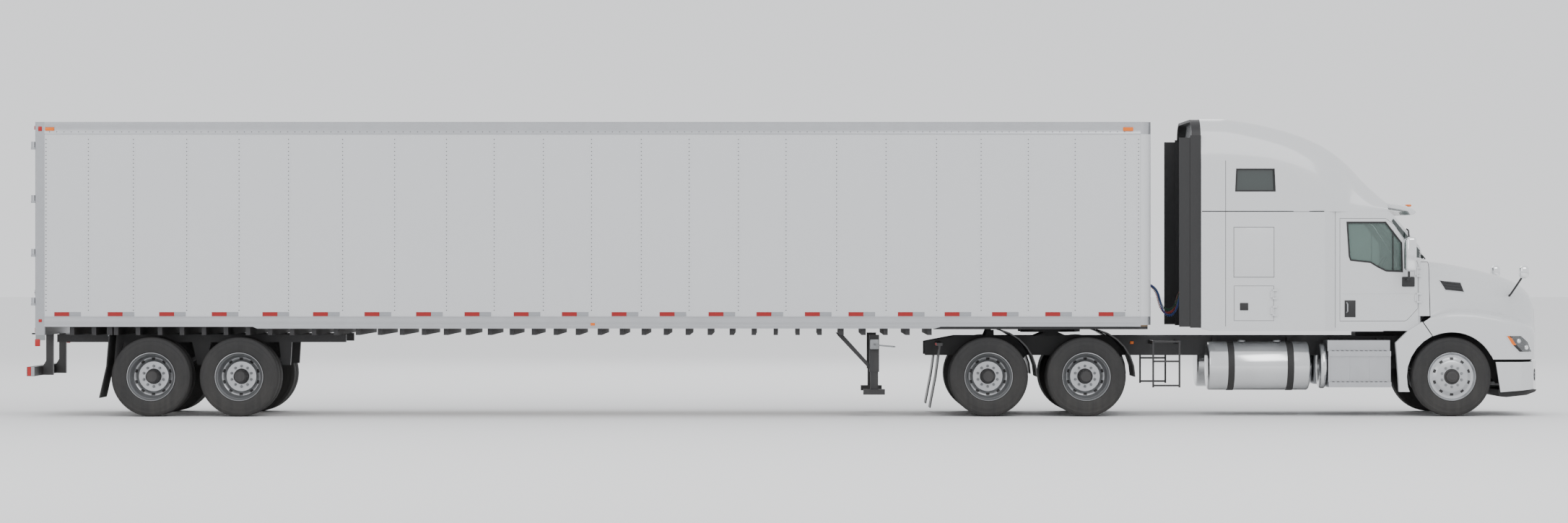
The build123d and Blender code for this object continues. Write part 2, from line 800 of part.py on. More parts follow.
with BuildPart() as roof_cap:
    add(roof_volume(0.0))
    add(roof_volume(roof_wall), mode=Mode.SUBTRACT)
    # Sleeper windows in both sides.
    prism_y(
        (
            (kingpin + 2500, 3120),
            (kingpin + 2515, 3440),
            (kingpin + 3050, 3440),
            (kingpin + 3064, 3120),
        ),
        -1500,
        1500,
        mode=Mode.SUBTRACT,
    )
    # Sun visor over the windshield.
    prism_y(
        (
            (kingpin + 4600, 2960),
            (kingpin + 4900, 2935),
            (kingpin + 5050, 2840),
            (kingpin + 4956, 2790),
            (kingpin + 4930, 2850),
            (kingpin + 4640, 2900),
        ),
        -1020,
        1020,
    )
save(roof_cap.part, "roof_cap")

with BuildPart() as cab_glass:
    for side, _ in SIDES:
        y_low, y_high = both(side, 20, 960)
        prism_y(
            (
                (kingpin + 4705, 2757),
                (kingpin + 4713, 2763),
                (kingpin + 5190, 2190),
                (kingpin + 5178, 2190),
            ),
            y_low,
            y_high,
        )
    add(cab_solid, mode=Mode.INTERSECT)
    for side, _ in SIDES:
        y_low, y_high = both(side, 1180, 1186)
        prism_y(
            (
                (kingpin + 2500, 3120),
                (kingpin + 2515, 3440),
                (kingpin + 3050, 3440),
                (kingpin + 3064, 3120),
            ),
            y_low,
            y_high,
        )
save(cab_glass.part, "cab_glass")

# Side extenders: a rigid panel behind each rear corner of the sleeper and its lower flap.
with BuildPart() as side_extenders:
    for side, _ in SIDES:
        y_low, y_high = both(side, sleeper_half_width - 60, sleeper_half_width - 20)
        block(kingpin + 1880, cab_rear, y_low, y_high, cab_floor + 43, 3900)
        y_low, y_high = both(side, sleeper_half_width - 50, sleeper_half_width - 30)
        block(kingpin + 1727, kingpin + 1880, y_low, y_high, 1244, 3870)
save(side_extenders.part, "side_extenders")

# Cab interior: dash with the steering wheel, two seats, the bunk.
dash = (
    (kingpin + 5050, 1700),
    (kingpin + 5050, 2080),
    (kingpin + 4950, 2060),
    (kingpin + 4860, 1900),
    (kingpin + 4960, 1700),
)
dash_shelf = (
    (kingpin + 5050, 1700),
    (kingpin + 5050, 2080),
    (kingpin + 5160, 2090),
    (kingpin + 5170, 1700),
)
console = (
    (kingpin + 4680, cab_floor + cab_wall),
    (kingpin + 4885, cab_floor + cab_wall),
    (kingpin + 5140, 1395),
    (kingpin + 5165, 1440),
    (kingpin + 5165, 1720),
    (kingpin + 4680, 1720),
)
seat_side = (
    (0, 0),
    (0, 330),
    (-60, 1000),
    (60, 1020),
    (130, 480),
    (520, 480),
    (520, 330),
    (400, 0),
)
seat_back_x = kingpin + 4050
cab_inner_floor = cab_floor + cab_wall
with BuildPart() as cab_interior:
    prism_y(dash, -950, 950)
    prism_y(dash_shelf, -500, 500)
    for side, _ in SIDES:
        outline = [(seat_back_x + x, cab_inner_floor + z) for x, z in seat_side]
        y_low, y_high = both(side, 250, 780)
        prism_y(outline, y_low, y_high)
    block(cab_rear + cab_wall, kingpin + 3050, -1170, 1170, 1830, 1980)
    prism_y(console, -120, 120)
save(cab_interior.part, "cab_interior")

# Fuel tanks, with the bright end tank ahead of each
tank_radius = 337.0
tank_y = tank_inner + tank_radius
tank_z = 697.0
tank_rear = kingpin + 2126
tank_front = kingpin + 3565
end_tank = (kingpin + 3685, kingpin + 3804)
tank_end = 30.0
tank_sides = 24
with BuildPart() as fuel_tanks:
    for side, _ in SIDES:
        end = Plane(origin=(tank_rear, side * tank_y, tank_z), x_dir=(0, 1, 0), z_dir=(1, 0, 0))
        length = tank_front - tank_rear
        stack(
            end,
            (
                (0, tank_radius - tank_end),
                (tank_end, tank_radius),
                (length - tank_end, tank_radius),
                (length, tank_radius - tank_end),
            ),
            tank_sides,
        )
        front_end = Plane(origin=(end_tank[0], side * tank_y, 692), x_dir=(0, 1, 0), z_dir=(1, 0, 0))
        stack(front_end, ((0, 312), (end_tank[1] - end_tank[0], 312)), tank_sides)
save(fuel_tanks.part, "fuel_tanks")

# Steps: a tread box under each cab door and a ladder to the deck behind the sleeper
step_box = (
    (1200, 404),
    (1200, 475),
    (1130, 475),
    (1130, 835),
    (1160, 835),
    (1160, 905),
    (1060, 905),
    (1060, 1055),
    (520, 1055),
    (520, 404),
)
with BuildPart() as steps:
    for side, _ in SIDES:
        section = step_box if side > 0 else mirrored(step_box)
        prism_x(section, kingpin + 3804, kingpin + 4672)
        y_low, y_high = both(side, 1100, 1130)
        for x in (1360, 1725):
            block(kingpin + x, kingpin + x + 25, y_low, y_high, 400, 1050)
        for z in (415, 750, 1025):
            y_low, y_high = both(side, 1095, 1150)
            block(kingpin + 1385, kingpin + 1725, y_low, y_high, z, z + 25)
        for x in (1360, 1725):
            y_low, y_high = both(side, rail_half_width, 1100)
            block(kingpin + x, kingpin + x + 25, y_low, y_high, 1000, 1050)
save(steps.part, "steps")

# Fenders fixed to the tractor: quarter fenders ahead of the drive wheels and the
# rear half of each front fender, under the cab's front corner.
quarter_inner = 660.0
quarter_skin = 20.0
with BuildPart() as mudguards:
    for side, _ in SIDES:
        y_low, y_high = both(side, rail_half_width, 1240)
        for x in drive_axle_x.values():
            with BuildSketch(Plane.XZ.offset(-y_high)) as ring:
                with Locations((x, tyre_radius)):
                    RegularPolygon(quarter_inner + quarter_skin, 28)
                    RegularPolygon(quarter_inner, 28, mode=Mode.SUBTRACT)
                with BuildLine():
                    Polyline(
                        (x, tyre_radius),
                        (x + 260, tyre_radius + 900),
                        (x + 1000, tyre_radius + 900),
                        (x + 1000, tyre_radius),
                        close=True,
                    )
                make_face(mode=Mode.INTERSECT)
            extrude(ring.sketch, amount=y_high - y_low)
        y_low, y_high = both(side, cowl_half_width - cab_wall, 1160)
        with BuildSketch(Plane.XZ.offset(-y_high)) as rear_half:
            with BuildLine():
                Polyline(
                    (kingpin + 4740, 1020),
                    (kingpin + 4913, cab_floor),
                    (kingpin + 5108, cab_floor + 124),
                    (kingpin + 5250, 1105),
                    (kingpin + 5250, 340),
                    (kingpin + 4790, 340),
                    close=True,
                )
            make_face()
            with Locations((front_axle_x, tyre_radius)):
                RegularPolygon(arch_radius, arch_sides, major_radius=False, mode=Mode.SUBTRACT)
        extrude(rear_half.sketch, amount=y_high - y_low)
    # Flaps behind the drive wheels.
    for side, _ in SIDES:
        y_low, y_high = both(side, 640, 1240)
        prism_y(
            (
                (kingpin - 1600, flap_top - seat),
                (kingpin - 1585, flap_top - seat),
                (kingpin - 1640, 560),
                (kingpin - 1725, 120),
                (kingpin - 1740, 120),
                (kingpin - 1656, 560),
            ),
            y_low,
            y_high,
        )
save(mudguards.part, "mudguards")

# Bumper: wraps round the front corners
bumper_plan = (
    (kingpin + 6120, bumper_half_width),
    (kingpin + 6480, bumper_half_width - 20),
    (kingpin + 6680, bumper_half_width - 220),
    (kingpin + 6783, bumper_half_width - 620),
)
bumper_inner = (
    (kingpin + 6120, bumper_half_width - bumper_skin),
    (kingpin + 6460, bumper_half_width - 20 - bumper_skin),
    (kingpin + 6640, bumper_half_width - 250),
    (kingpin + 6783 - bumper_skin, bumper_half_width - 630),
)
with BuildPart() as bumper:
    prism_z(plan_loop(bumper_plan), 333, bumper_top)
    prism_z(plan_loop(bumper_inner), 300, bumper_top + 20, mode=Mode.SUBTRACT)
    # The rear edge leans forward and the lower edge rises to the front.
    prism_y(
        (
            (kingpin + 6100, bumper_top + 20),
            (kingpin + 6121, bumper_top + 20),
            (kingpin + 6193, 320),
            (kingpin + 6100, 320),
        ),
        -1500,
        1500,
        mode=Mode.SUBTRACT,
    )
    prism_y(
        (
            (kingpin + 6150, 320),
            (kingpin + 6150, 333),
            (kingpin + 6800, bumper_bottom),
            (kingpin + 6800, 320),
        ),
        -1500,
        1500,
        mode=Mode.SUBTRACT,
    )
save(bumper.part, "bumper")


# Hood with the front fenders
# Columns: x, fender half width, shoulder height, valley half width, top half width, top height.
hood_sections = (
    (kingpin + 5100, 1150, 1345, 1100, 850, 2155),
    (kingpin + 5230, 1160, 1370, 1090, 840, 2150),
    (kingpin + 5515, 1200, 1440, 1000, 770, 2118),
    (kingpin + 6040, 1200, 1400, 880, 650, 2010),
    (kingpin + 6480, 1150, 1290, 780, 540, 1868),
    (kingpin + 6690, 940, 1200, 680, 460, 1717),
    (hood_front, 580, 1130, 560, 380, 1560),
)
fender_slope = 0.2
hood_side_slope = 5.0
hood_edge_slope = 0.6


def hood_volume(skin):
    """Return the hood's body, moved inwards by the skin, open below and behind."""
    rings = []
    for x, w_fender, z_fender, w_valley, w_top, z_top in hood_sections:
        station = x - skin if x == hood_front else x
        low = (w_fender - skin, hood_bottom - 2 * skin)
        crest = (w_fender - skin, z_fender - skin)
        valley = (w_valley - skin, z_fender + fender_slope * (w_fender - w_valley) - skin)
        top = (w_top - skin, z_top - skin)
        half = [low, crest, valley, shoulder(valley, top, hood_side_slope, hood_edge_slope), top]
        rings.append([Vector(station, y, z) for y, z in (*half, *mirrored(reversed(half)))])
    return faceted(rings)


grille_low = 880.0
grille_high = 1500.0
grille_half_low = 480.0
grille_half_high = 400.0
with BuildPart() as hood:
    add(hood_volume(0.0))
    add(hood_volume(hood_skin), mode=Mode.SUBTRACT)
    with BuildSketch(Plane.XZ.offset(-1500)) as keep:
        with BuildLine():
            Polyline(
                (kingpin + 5230, 2400),
                (kingpin + 5230, 1377),
                (kingpin + 5124, 1309),
                (kingpin + 5266, 1100),
                (kingpin + 5266, hood_bottom),
                (kingpin + 6800, hood_bottom),
                (kingpin + 6800, 2400),
                close=True,
            )
        make_face()
        with Locations((front_axle_x, tyre_radius)):
            RegularPolygon(arch_radius, arch_sides, major_radius=False, mode=Mode.SUBTRACT)
    extrude(keep.sketch, amount=3000, mode=Mode.INTERSECT)
    # Grille opening in the front face.
    prism_x(
        (
            (-grille_half_low, grille_low),
            (-grille_half_high, grille_high),
            (grille_half_high, grille_high),
            (grille_half_low, grille_low),
        ),
        hood_front - 90,
        hood_front + 10,
        mode=Mode.SUBTRACT,
    )
    # Hinge barrels at the front lower lip.
    for side, _ in SIDES:
        y_low, y_high = both(side, hanger_y + seat, hanger_y + 60)
        rod((hood_pivot_x, y_low, hood_pivot_z), (hood_pivot_x, y_high, hood_pivot_z), 10, sides=12)
save(hood.part, "hood")

bar_pitch = 62.0
with BuildPart() as grille:
    prism_x(
        (
            (-grille_half_low, grille_low),
            (-grille_half_high, grille_high),
            (grille_half_high, grille_high),
            (grille_half_low, grille_low),
        ),
        hood_front - hood_skin,
        hood_front + 8,
    )
    for row in range(9):
        z = grille_low + 40 + row * bar_pitch
        half = grille_half_low - 45 - (grille_half_low - grille_half_high) * row / 9
        block(hood_front - 40, hood_front + 10, -half, half, z, z + 36, mode=Mode.SUBTRACT)
save(grille.part, "grille")

with BuildPart() as headlights:
    for side, _ in SIDES:
        y_low, y_high = both(side, 900, 1220)
        prism_y(
            (
                (kingpin + 6269, 1120),
                (kingpin + 6475, 1120),
                (kingpin + 6583, 1033),
                (kingpin + 6648, 892),
                (kingpin + 6453, 892),
                (kingpin + 6344, 1001),
            ),
            y_low,
            y_high,
        )
    # Only a lens just proud of the fender's skin is kept.
    add(hood_volume(-6.0), mode=Mode.INTERSECT)
    add(hood_volume(0.0), mode=Mode.SUBTRACT)
save(headlights.part, "headlights")

with BuildPart() as hood_mirrors:
    for side, _ in SIDES:
        y_low, y_high = both(side, 1120, 1300)
        block(kingpin + 6440, kingpin + 6576, y_low, y_high, 1912, 2096)
        rod((kingpin + 6490, side * 1150, 1930), (kingpin + 6370, side * 700, 1620), 14, sides=8)
    add(hood_volume(0.0), mode=Mode.SUBTRACT)
save(hood_mirrors.part, "hood_mirrors")

# Trailer body
wall_in = trailer_half_width - trailer_wall
skin_y = trailer_half_width - rail_step
wall_front = trailer_front - corner_radius
wall_rear = trailer_rear + rear_frame_depth
wall_section = (
    (wall_in, bottom_rail_low),
    (trailer_half_width, bottom_rail_low),
    (trailer_half_width, bottom_rail_high),
    (skin_y, bottom_rail_high),
    (skin_y, top_rail_low),
    (trailer_half_width, top_rail_low),
    (trailer_half_width, trailer_top),
    (wall_in, trailer_top),
)


def bed_plan(x_rear):
    """Return the plan of the space between the trailer's walls, from x_rear to the nose."""
    length = trailer_front - trailer_wall - x_rear
    with BuildSketch() as plan:
        with Locations((x_rear + length / 2, 0)):
            Rectangle(length, 2 * wall_in)
        fillet(plan.vertices().group_by(Axis.X)[-1], corner_radius - trailer_wall - 1)
    return plan.sketch


def bed(x_rear, z_low, z_high):
    """Add a slab that fills the trailer from wall to wall."""
    extrude(Plane.XY.offset(z_low) * bed_plan(x_rear), amount=z_high - z_low)


with BuildPart() as trailer_walls:
    for side, _ in SIDES:
        section = wall_section if side > 0 else mirrored(wall_section)
        prism_x(section, wall_rear, wall_front)
    # The bottom rail steps up over the bogie's slider and slopes up to the coupler.
    for x_low, x_slope, x_high, z in (
        (wall_rear - 10, kingpin - 11120, kingpin - 11060, 1245),
        (wall_front + 10, kingpin - 1500, kingpin - 1680, nose_low),
    ):
        prism_y(
            ((x_low, 1200), (x_low, z), (x_slope, z), (x_high, bottom_rail_low), (x_high, 1200)),
            -1400,
            1400,
            mode=Mode.SUBTRACT,
        )
    # Front wall with rounded corner posts.
    with BuildSketch(Plane.XY.offset(nose_low)) as front_wall:
        with Locations(((wall_front + trailer_front) / 2, 0)):
            Rectangle(corner_radius, 2 * trailer_half_width)
        fillet(front_wall.vertices().group_by(Axis.X)[-1], corner_radius - 1)
        add(bed_plan(wall_front), mode=Mode.SUBTRACT)
    extrude(front_wall.sketch, amount=trailer_top - nose_low)
save(trailer_walls.part, "trailer_walls")

with BuildPart() as trailer_roof_panel:
    bed(wall_rear, trailer_top - rail_step - trailer_roof, trailer_top - rail_step)
save(trailer_roof_panel.part, "trailer_roof")

# Floor on its crossmembers, with the coupler plate and the kingpin under the nose
coupler_rear = kingpin - 1680
with BuildPart() as trailer_floor:
    bed(wall_rear, floor_top - floor_thickness, floor_top)
    count = int((coupler_rear - wall_rear - 100) // crossmember_pitch)
    for i in range(count):
        x = coupler_rear - 60 - i * crossmember_pitch
        block(x - 30, x + 30, -wall_in, wall_in, crossmember_low, floor_top - floor_thickness)
    # The mudflaps hang from one more crossmember.
    block(kingpin - 13150, kingpin - 13075, -wall_in, wall_in, crossmember_low, floor_top - floor_thickness)
    bed(coupler_rear, coupler_height + seat, floor_top - floor_thickness)
    rod((kingpin, 0, coupler_height + seat), (kingpin, 0, coupler_height - kingpin_length), kingpin_radius)
save(trailer_floor.part, "trailer_floor")

# Rear frame with the impact guard
guard_half = 1250.0
upright_y = 545.0
rear_hinge_z = (1570.0, 2245.0, 2990.0, 3730.0)
with BuildPart() as rear_frame:
    with BuildSketch(Plane.YZ.offset(trailer_rear)) as portal:
        with Locations((0, (crossmember_low + trailer_top) / 2)):
            Rectangle(2 * trailer_half_width, trailer_top - crossmember_low)
        with Locations((0, (floor_top + header_low) / 2)):
            Rectangle(2 * (trailer_half_width - post_width), header_low - floor_top, mode=Mode.SUBTRACT)
    extrude(portal.sketch, amount=rear_frame_depth)
    block(kingpin - rear_reach, kingpin - rear_reach + 112, -guard_half, guard_half, 560, 690)
    for side, _ in SIDES:
        y_low, y_high = both(side, upright_y - 40, upright_y + 40)
        prism_y(
            (
                (kingpin - rear_reach + 112, 560),
                (kingpin - rear_reach + 112, 690),
                (trailer_rear + 30, 760),
                (trailer_rear + 30, crossmember_low),
                (trailer_rear + rear_frame_depth, crossmember_low),
                (trailer_rear + rear_frame_depth, 560),
            ),
            y_low,
            y_high,
        )
        for z in rear_hinge_z:
            y_low, y_high = both(side, 1283, 1314)
            block(trailer_rear - 57, trailer_rear, y_low, y_high, z - 30, z - seat)
save(rear_frame.part, "rear_frame")

# Rear doors with strap hinges and lock rods
pin_x = trailer_rear - 45
pin_y = 1302.0
strap_height = 80.0
door_out = trailer_half_width - post_width - clear
for side, side_name in SIDES:
    with BuildPart() as rear_door:
        y_low, y_high = both(side, 3, door_out)
        block(trailer_rear, trailer_rear + trailer_wall, y_low, y_high, floor_top + clear, header_low - clear)
        for z in rear_hinge_z:
            rod((pin_x, side * pin_y, z), (pin_x, side * pin_y, z + strap_height), hinge_radius, sides=8)
            y_low, y_high = both(side, 1000, pin_y)
            block(pin_x, pin_x + 35, y_low, y_high, z, z + strap_height)
            y_low, y_high = both(side, 1000, door_out - 10)
            block(pin_x + 35, trailer_rear, y_low, y_high, z, z + strap_height)
        for y in (330, 860):
            rod(
                (trailer_rear - 24, side * y, floor_top + 20),
                (trailer_rear - 24, side * y, header_low - 20),
                17,
                sides=8,
            )
            for z in (1500, 2600, 3700):
                y_low, y_high = both(side, y - 30, y + 30)
                block(trailer_rear - 20, trailer_rear, y_low, y_high, z, z + 60)
    save(rear_door.part, f"rear_door_{side_name}")

# Landing gear
leg_y = 1000.0
leg_x = (kingpin - 2570, kingpin - 2436)
with BuildPart() as landing_gear:
    for side, _ in SIDES:
        y_low, y_high = both(side, leg_y - 67, leg_y + 67)
        block(*leg_x, y_low, y_high, 615, crossmember_low)
        y_low, y_high = both(side, leg_y - 54, leg_y + 54)
        block(leg_x[0] + 13, leg_x[1] - 13, y_low, y_high, 370, 615)
        y_low, y_high = both(side, leg_y - 130, leg_y + 130)
        block(leg_x[0] - 85, leg_x[1] + 80, y_low, y_high, 300, 372)
        y_low, y_high = both(side, leg_y - 20, leg_y + 20)
        prism_y(
            (
                (kingpin - 3020, crossmember_low),
                (kingpin - 2940, crossmember_low),
                (leg_x[0] + 2, 720),
                (leg_x[0] + 2, 650),
            ),
            y_low,
            y_high,
        )
    block(leg_x[0] + 40, leg_x[1] - 40, -leg_y, leg_y, 900, 960)
save(landing_gear.part, "landing_gear")

# Bogie: slider rails, hangers, springs and the two axles
slider_y = 560.0
with BuildPart() as trailer_bogie:
    for side, _ in SIDES:
        y_low, y_high = both(side, slider_y - 40, slider_y + 40)
        block(kingpin - 13950, kingpin - 9900, y_low, y_high, crossmember_low - 110, crossmember_low)
        for x_top, x_mid, width in ((-10750, -10740, 180), (-11927, -11927, 260), (-13120, -13130, 180)):
            prism_y(
                (
                    (kingpin + x_top - width / 2, crossmember_low - 110),
                    (kingpin + x_top + width / 2, crossmember_low - 110),
                    (kingpin + x_mid + 60, 700),
                    (kingpin + x_mid - 60, 700),
                ),
                y_low,
                y_high,
            )
        for x in trailer_axle_x.values():
            prism_y(
                (
                    (x - 560, 790),
                    (x - 560, 830),
                    (x - 200, 700),
                    (x + 200, 700),
                    (x + 560, 830),
                    (x + 560, 790),
                    (x + 180, 590),
                    (x - 180, 590),
                ),
                y_low,
                y_high,
            )
    for x in trailer_axle_x.values():
        rod(
            (x, -trailer_track - 15, tyre_radius),
            (x, trailer_track + 15, tyre_radius),
            spindle_radius,
            sides=spindle_sides,
        )
save(trailer_bogie.part, "trailer_bogie")

with BuildPart() as trailer_flaps:
    for side, _ in SIDES:
        y_low, y_high = both(side, 680, 1290)
        prism_y(
            (
                (kingpin - 13120, crossmember_low),
                (kingpin - 13105, crossmember_low),
                (kingpin - 13140, 700),
                (kingpin - 13240, 260),
                (kingpin - 13256, 260),
                (kingpin - 13156, 700),
            ),
            y_low,
            y_high,
        )
save(trailer_flaps.part, "trailer_flaps")

# Air lines and cable between the trailer's nose and the sleeper's back
# Columns: node, y at the trailer, y at the sleeper, dip.
line_radius = 20.0  # outside of the coil
# Columns: node, y at the trailer, y at the sleeper, dip.
lines = (
    ("air_line_red", 160, 120, 0),
    ("air_line_blue", -160, -120, 40),
    ("power_cable", 0, 0, -60),
)
# Columns: x past the trailer's nose, height, share of the way across from the trailer's y to the sleeper's.
route = (
    (seat, 1830, 0),
    (170, 1830, 0),
    (255, 1420, 0.3),
    (440, 1420, 0.7),
    (525, 1800, 1),
    (cab_rear - trailer_front - seat, 1800, 1),
)


def bend_radii(points):
    """Return each corner's radius: the largest that the shorter run beside it has room for."""
    radii = []
    for before, corner, after in zip(points, points[1:], points[2:]):
        first = Vector(*corner) - Vector(*before)
        second = Vector(*after) - Vector(*corner)
        half_turn = radians(first.get_angle(second)) / 2
        radii.append(0.45 * min(first.length, second.length) / tan(half_turn))
    return radii


for name, y_start, y_end, dip in lines:
    points = []
    for x, z, share in route:
        sag = dip * sin(pi * share)
        points.append((trailer_front + x, y_start + (y_end - y_start) * share, z - sag))
    radii = bend_radii(points)
    print(name, "bend radii", [round(radius) for radius in radii])
    with BuildPart() as line:
        with BuildLine():
            FilletPolyline(*points, radius=radii)
        with BuildSketch(Plane(origin=points[0], z_dir=(1, 0, 0))):
            RegularPolygon(line_radius, 6)
        sweep()
    save(line.part, name)
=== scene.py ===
"""Finishes and small pieces of a semi truck, built in Blender 4.5 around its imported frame."""

import logging
import math
from collections.abc import Sequence
from dataclasses import dataclass, field
from enum import Enum

import bpy
from mathutils import Euler, Matrix, Vector


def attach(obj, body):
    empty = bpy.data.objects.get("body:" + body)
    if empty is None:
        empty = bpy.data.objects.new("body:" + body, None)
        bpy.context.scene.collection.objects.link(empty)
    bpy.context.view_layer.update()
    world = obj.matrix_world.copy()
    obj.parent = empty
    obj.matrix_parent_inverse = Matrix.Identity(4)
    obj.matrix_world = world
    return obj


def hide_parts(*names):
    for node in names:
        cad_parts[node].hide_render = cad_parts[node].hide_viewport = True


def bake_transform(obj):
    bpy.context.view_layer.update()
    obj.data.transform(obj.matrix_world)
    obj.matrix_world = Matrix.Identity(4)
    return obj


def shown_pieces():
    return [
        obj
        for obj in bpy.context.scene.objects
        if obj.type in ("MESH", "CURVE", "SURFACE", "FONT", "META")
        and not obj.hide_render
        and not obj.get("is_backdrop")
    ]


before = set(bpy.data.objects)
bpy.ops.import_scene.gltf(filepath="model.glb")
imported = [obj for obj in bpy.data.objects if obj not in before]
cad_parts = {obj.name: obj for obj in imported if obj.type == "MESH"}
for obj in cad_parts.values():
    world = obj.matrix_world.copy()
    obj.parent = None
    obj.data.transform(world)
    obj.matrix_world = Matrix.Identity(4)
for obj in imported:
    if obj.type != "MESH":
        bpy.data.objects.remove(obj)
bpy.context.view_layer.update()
LOG = logging.getLogger("semi_truck")
Point = tuple[float, float, float]
Spot = tuple[float, float]
Line = list[Spot]
Piece = bpy.types.Object
Socket = bpy.types.NodeSocket
Tree = bpy.types.NodeTree

KINGPIN = 3.7395
AXLE_HEIGHT = 0.552
SLEEPER_WINDOW = ((2.50, 3.12), (2.515, 3.44), (3.05, 3.44), (3.064, 3.12))


def along(distance: float) -> float:
    """Return the x of a place measured forward from the kingpin."""
    return KINGPIN + distance


def seen(line: Sequence[Spot], y: float = 0.0) -> list[Point]:
    """Return the places of a line seen from the side, as (forward from the kingpin, height), at one y."""
    return [(along(x), y, z) for x, z in line]


class Side(Enum):
    """Which side of the truck a piece is on; the value is the sign of y."""

    LEFT = 1
    RIGHT = -1

    @property
    def word(self) -> str:
        """Return the side's name as the bodies spell it."""
        return self.name.lower()


# Node helpers


@dataclass
class NodeBench:
    """Adds and links the nodes of one tree."""

    tree: Tree

    def add(self, kind: str, inputs: dict | None = None, **settings: object) -> bpy.types.Node:
        """Add a node.

        Args:
            kind: the node's type name.
            inputs: values or sockets by input name or number.
            settings: attributes of the node.

        Returns:
            The new node.
        """
        node = self.tree.nodes.new(kind)
        for name, value in settings.items():
            setattr(node, name, value)
        for name, value in (inputs or {}).items():
            if isinstance(value, Socket):
                self.tree.links.new(value, node.inputs[name])
            else:
                node.inputs[name].default_value = value
        return node

    def math(self, operation: str, first: object, second: object = 0.0, clamp: bool = False) -> Socket:
        """Return the result of a math node on two values or sockets."""
        node = self.add("ShaderNodeMath", {0: first, 1: second}, operation=operation, use_clamp=clamp)
        return node.outputs[0]

    def mix(self, share: object, first: object, second: object) -> Socket:
        """Return a colour between two colours."""
        node = self.add("ShaderNodeMix", data_type="RGBA")
        for index, value in ((0, share), (6, first), (7, second)):
            if isinstance(value, Socket):
                self.tree.links.new(value, node.inputs[index])
            else:
                node.inputs[index].default_value = value
        return node.outputs[2]

    def step(self, value: object, edge: float, soft: float = 0.002) -> Socket:
        """Return 0 below an edge and 1 above it."""
        node = self.add("ShaderNodeMapRange", {0: value, 1: edge - soft, 2: edge + soft, 3: 0.0, 4: 1.0})
        return node.outputs[0]

    def noise(self, place: Socket, scale: object, detail: float) -> bpy.types.Node:
        """Add a noise texture."""
        return self.add("ShaderNodeTexNoise", {"Vector": place, "Scale": scale, "Detail": detail})

    def place(self) -> tuple[Socket, bpy.types.Node]:
        """Return Object coordinates and the node that splits them into x, y and z."""
        coordinates = self.add("ShaderNodeTexCoord").outputs["Object"]
        return coordinates, self.add("ShaderNodeSeparateXYZ", {0: coordinates})


def rgba(colour: tuple[float, float, float]) -> tuple[float, float, float, float]:
    """Return a colour with full alpha."""
    return (*colour, 1.0)


def new_group(name: str, inputs: dict[str, tuple[str, object]], outputs: dict[str, str]) -> tuple:
    """Make a shader node group with named sockets.

    Args:
        name: the group's name.
        inputs: socket type and default by input name.
        outputs: socket type by output name.

    Returns:
        The group, its bench, its input node and its output node.
    """
    tree = bpy.data.node_groups.new(name, "ShaderNodeTree")
    for label, (kind, default) in inputs.items():
        socket = tree.interface.new_socket(label, in_out="INPUT", socket_type=kind)
        socket.default_value = default
    for label, kind in outputs.items():
        tree.interface.new_socket(label, in_out="OUTPUT", socket_type=kind)
    bench = NodeBench(tree)
    return tree, bench, bench.add("NodeGroupInput"), bench.add("NodeGroupOutput")


def road_dust_group() -> Tree:
    """Build the group that greys a finish towards the road and under streaks.

    Returns:
        The node group.
    """
    tree, bench, given, result = new_group(
        "road_dust",
        {
            "Colour": ("NodeSocketColor", (0.8, 0.8, 0.8, 1.0)),
            "Dust": ("NodeSocketColor", (0.32, 0.29, 0.25, 1.0)),
            "Amount": ("NodeSocketFloat", 0.5),
            "Reach": ("NodeSocketFloat", 1.6),
            "Roughness": ("NodeSocketFloat", 0.3),
        },
        {"Colour": "NodeSocketColor", "Roughness": "NodeSocketFloat", "Mask": "NodeSocketFloat"},
    )
    coordinates, axes = bench.place()
    height, reach = axes.outputs["Z"], given.outputs["Reach"]
    low = bench.add("ShaderNodeMapRange", {0: height, 1: reach, 2: 0.1, 3: 0.0, 4: 1.0})
    cloud = bench.noise(coordinates, 2.2, 5.0)
    cloud.inputs["Roughness"].default_value = 0.6
    stretched = bench.add("ShaderNodeMapping", {"Vector": coordinates, "Scale": (9.0, 9.0, 0.5)})
    streak = bench.noise(stretched.outputs[0], 1.6, 4.0)
    broken = bench.math("MULTIPLY", cloud.outputs["Fac"], streak.outputs["Fac"])
    lifted = bench.math("MULTIPLY_ADD", low.outputs[0], 0.85)
    lifted.node.inputs[2].default_value = 0.12
    spread = bench.math("MULTIPLY", lifted, bench.math("MULTIPLY", broken, 2.6))
    mask = bench.math("MULTIPLY", spread, given.outputs["Amount"], True)
    colour = bench.mix(mask, given.outputs["Colour"], given.outputs["Dust"])
    rough = bench.math("MULTIPLY_ADD", mask, 0.5, True)
    bench.tree.links.new(given.outputs["Roughness"], rough.node.inputs[2])
    for name, socket in (("Colour", colour), ("Roughness", rough), ("Mask", mask)):
        bench.tree.links.new(socket, result.inputs[name])
    return tree


def fine_grain_group() -> Tree:
    """Build the group that gives small height noise at two scales.

    Returns:
        The node group.
    """
    tree, bench, given, result = new_group(
        "fine_grain",
        {
            "Coarse": ("NodeSocketFloat", 12.0),
            "Fine": ("NodeSocketFloat", 180.0),
            "Share": ("NodeSocketFloat", 0.5),
        },
        {"Height": "NodeSocketFloat", "Tone": "NodeSocketFloat"},
    )
    coordinates, _ = bench.place()
    coarse = bench.noise(coordinates, given.outputs["Coarse"], 3.0)
    fine = bench.noise(coordinates, given.outputs["Fine"], 2.0)
    small = bench.math("MULTIPLY", fine.outputs["Fac"], given.outputs["Share"])
    height = bench.math("ADD", coarse.outputs["Fac"], small)
    bench.tree.links.new(height, result.inputs["Height"])
    bench.tree.links.new(coarse.outputs["Fac"], result.inputs["Tone"])
    return tree


class Zone(Enum):
    """Which part of a node wears a second finish."""

    NONE = "none"
    RAILS = "rails"
    UNDER_DECK = "under_deck"
    REAR_FITTINGS = "rear_fittings"
    GUARD = "guard"
    FRONT_FENDERS = "front_fenders"
    LADDERS = "ladders"


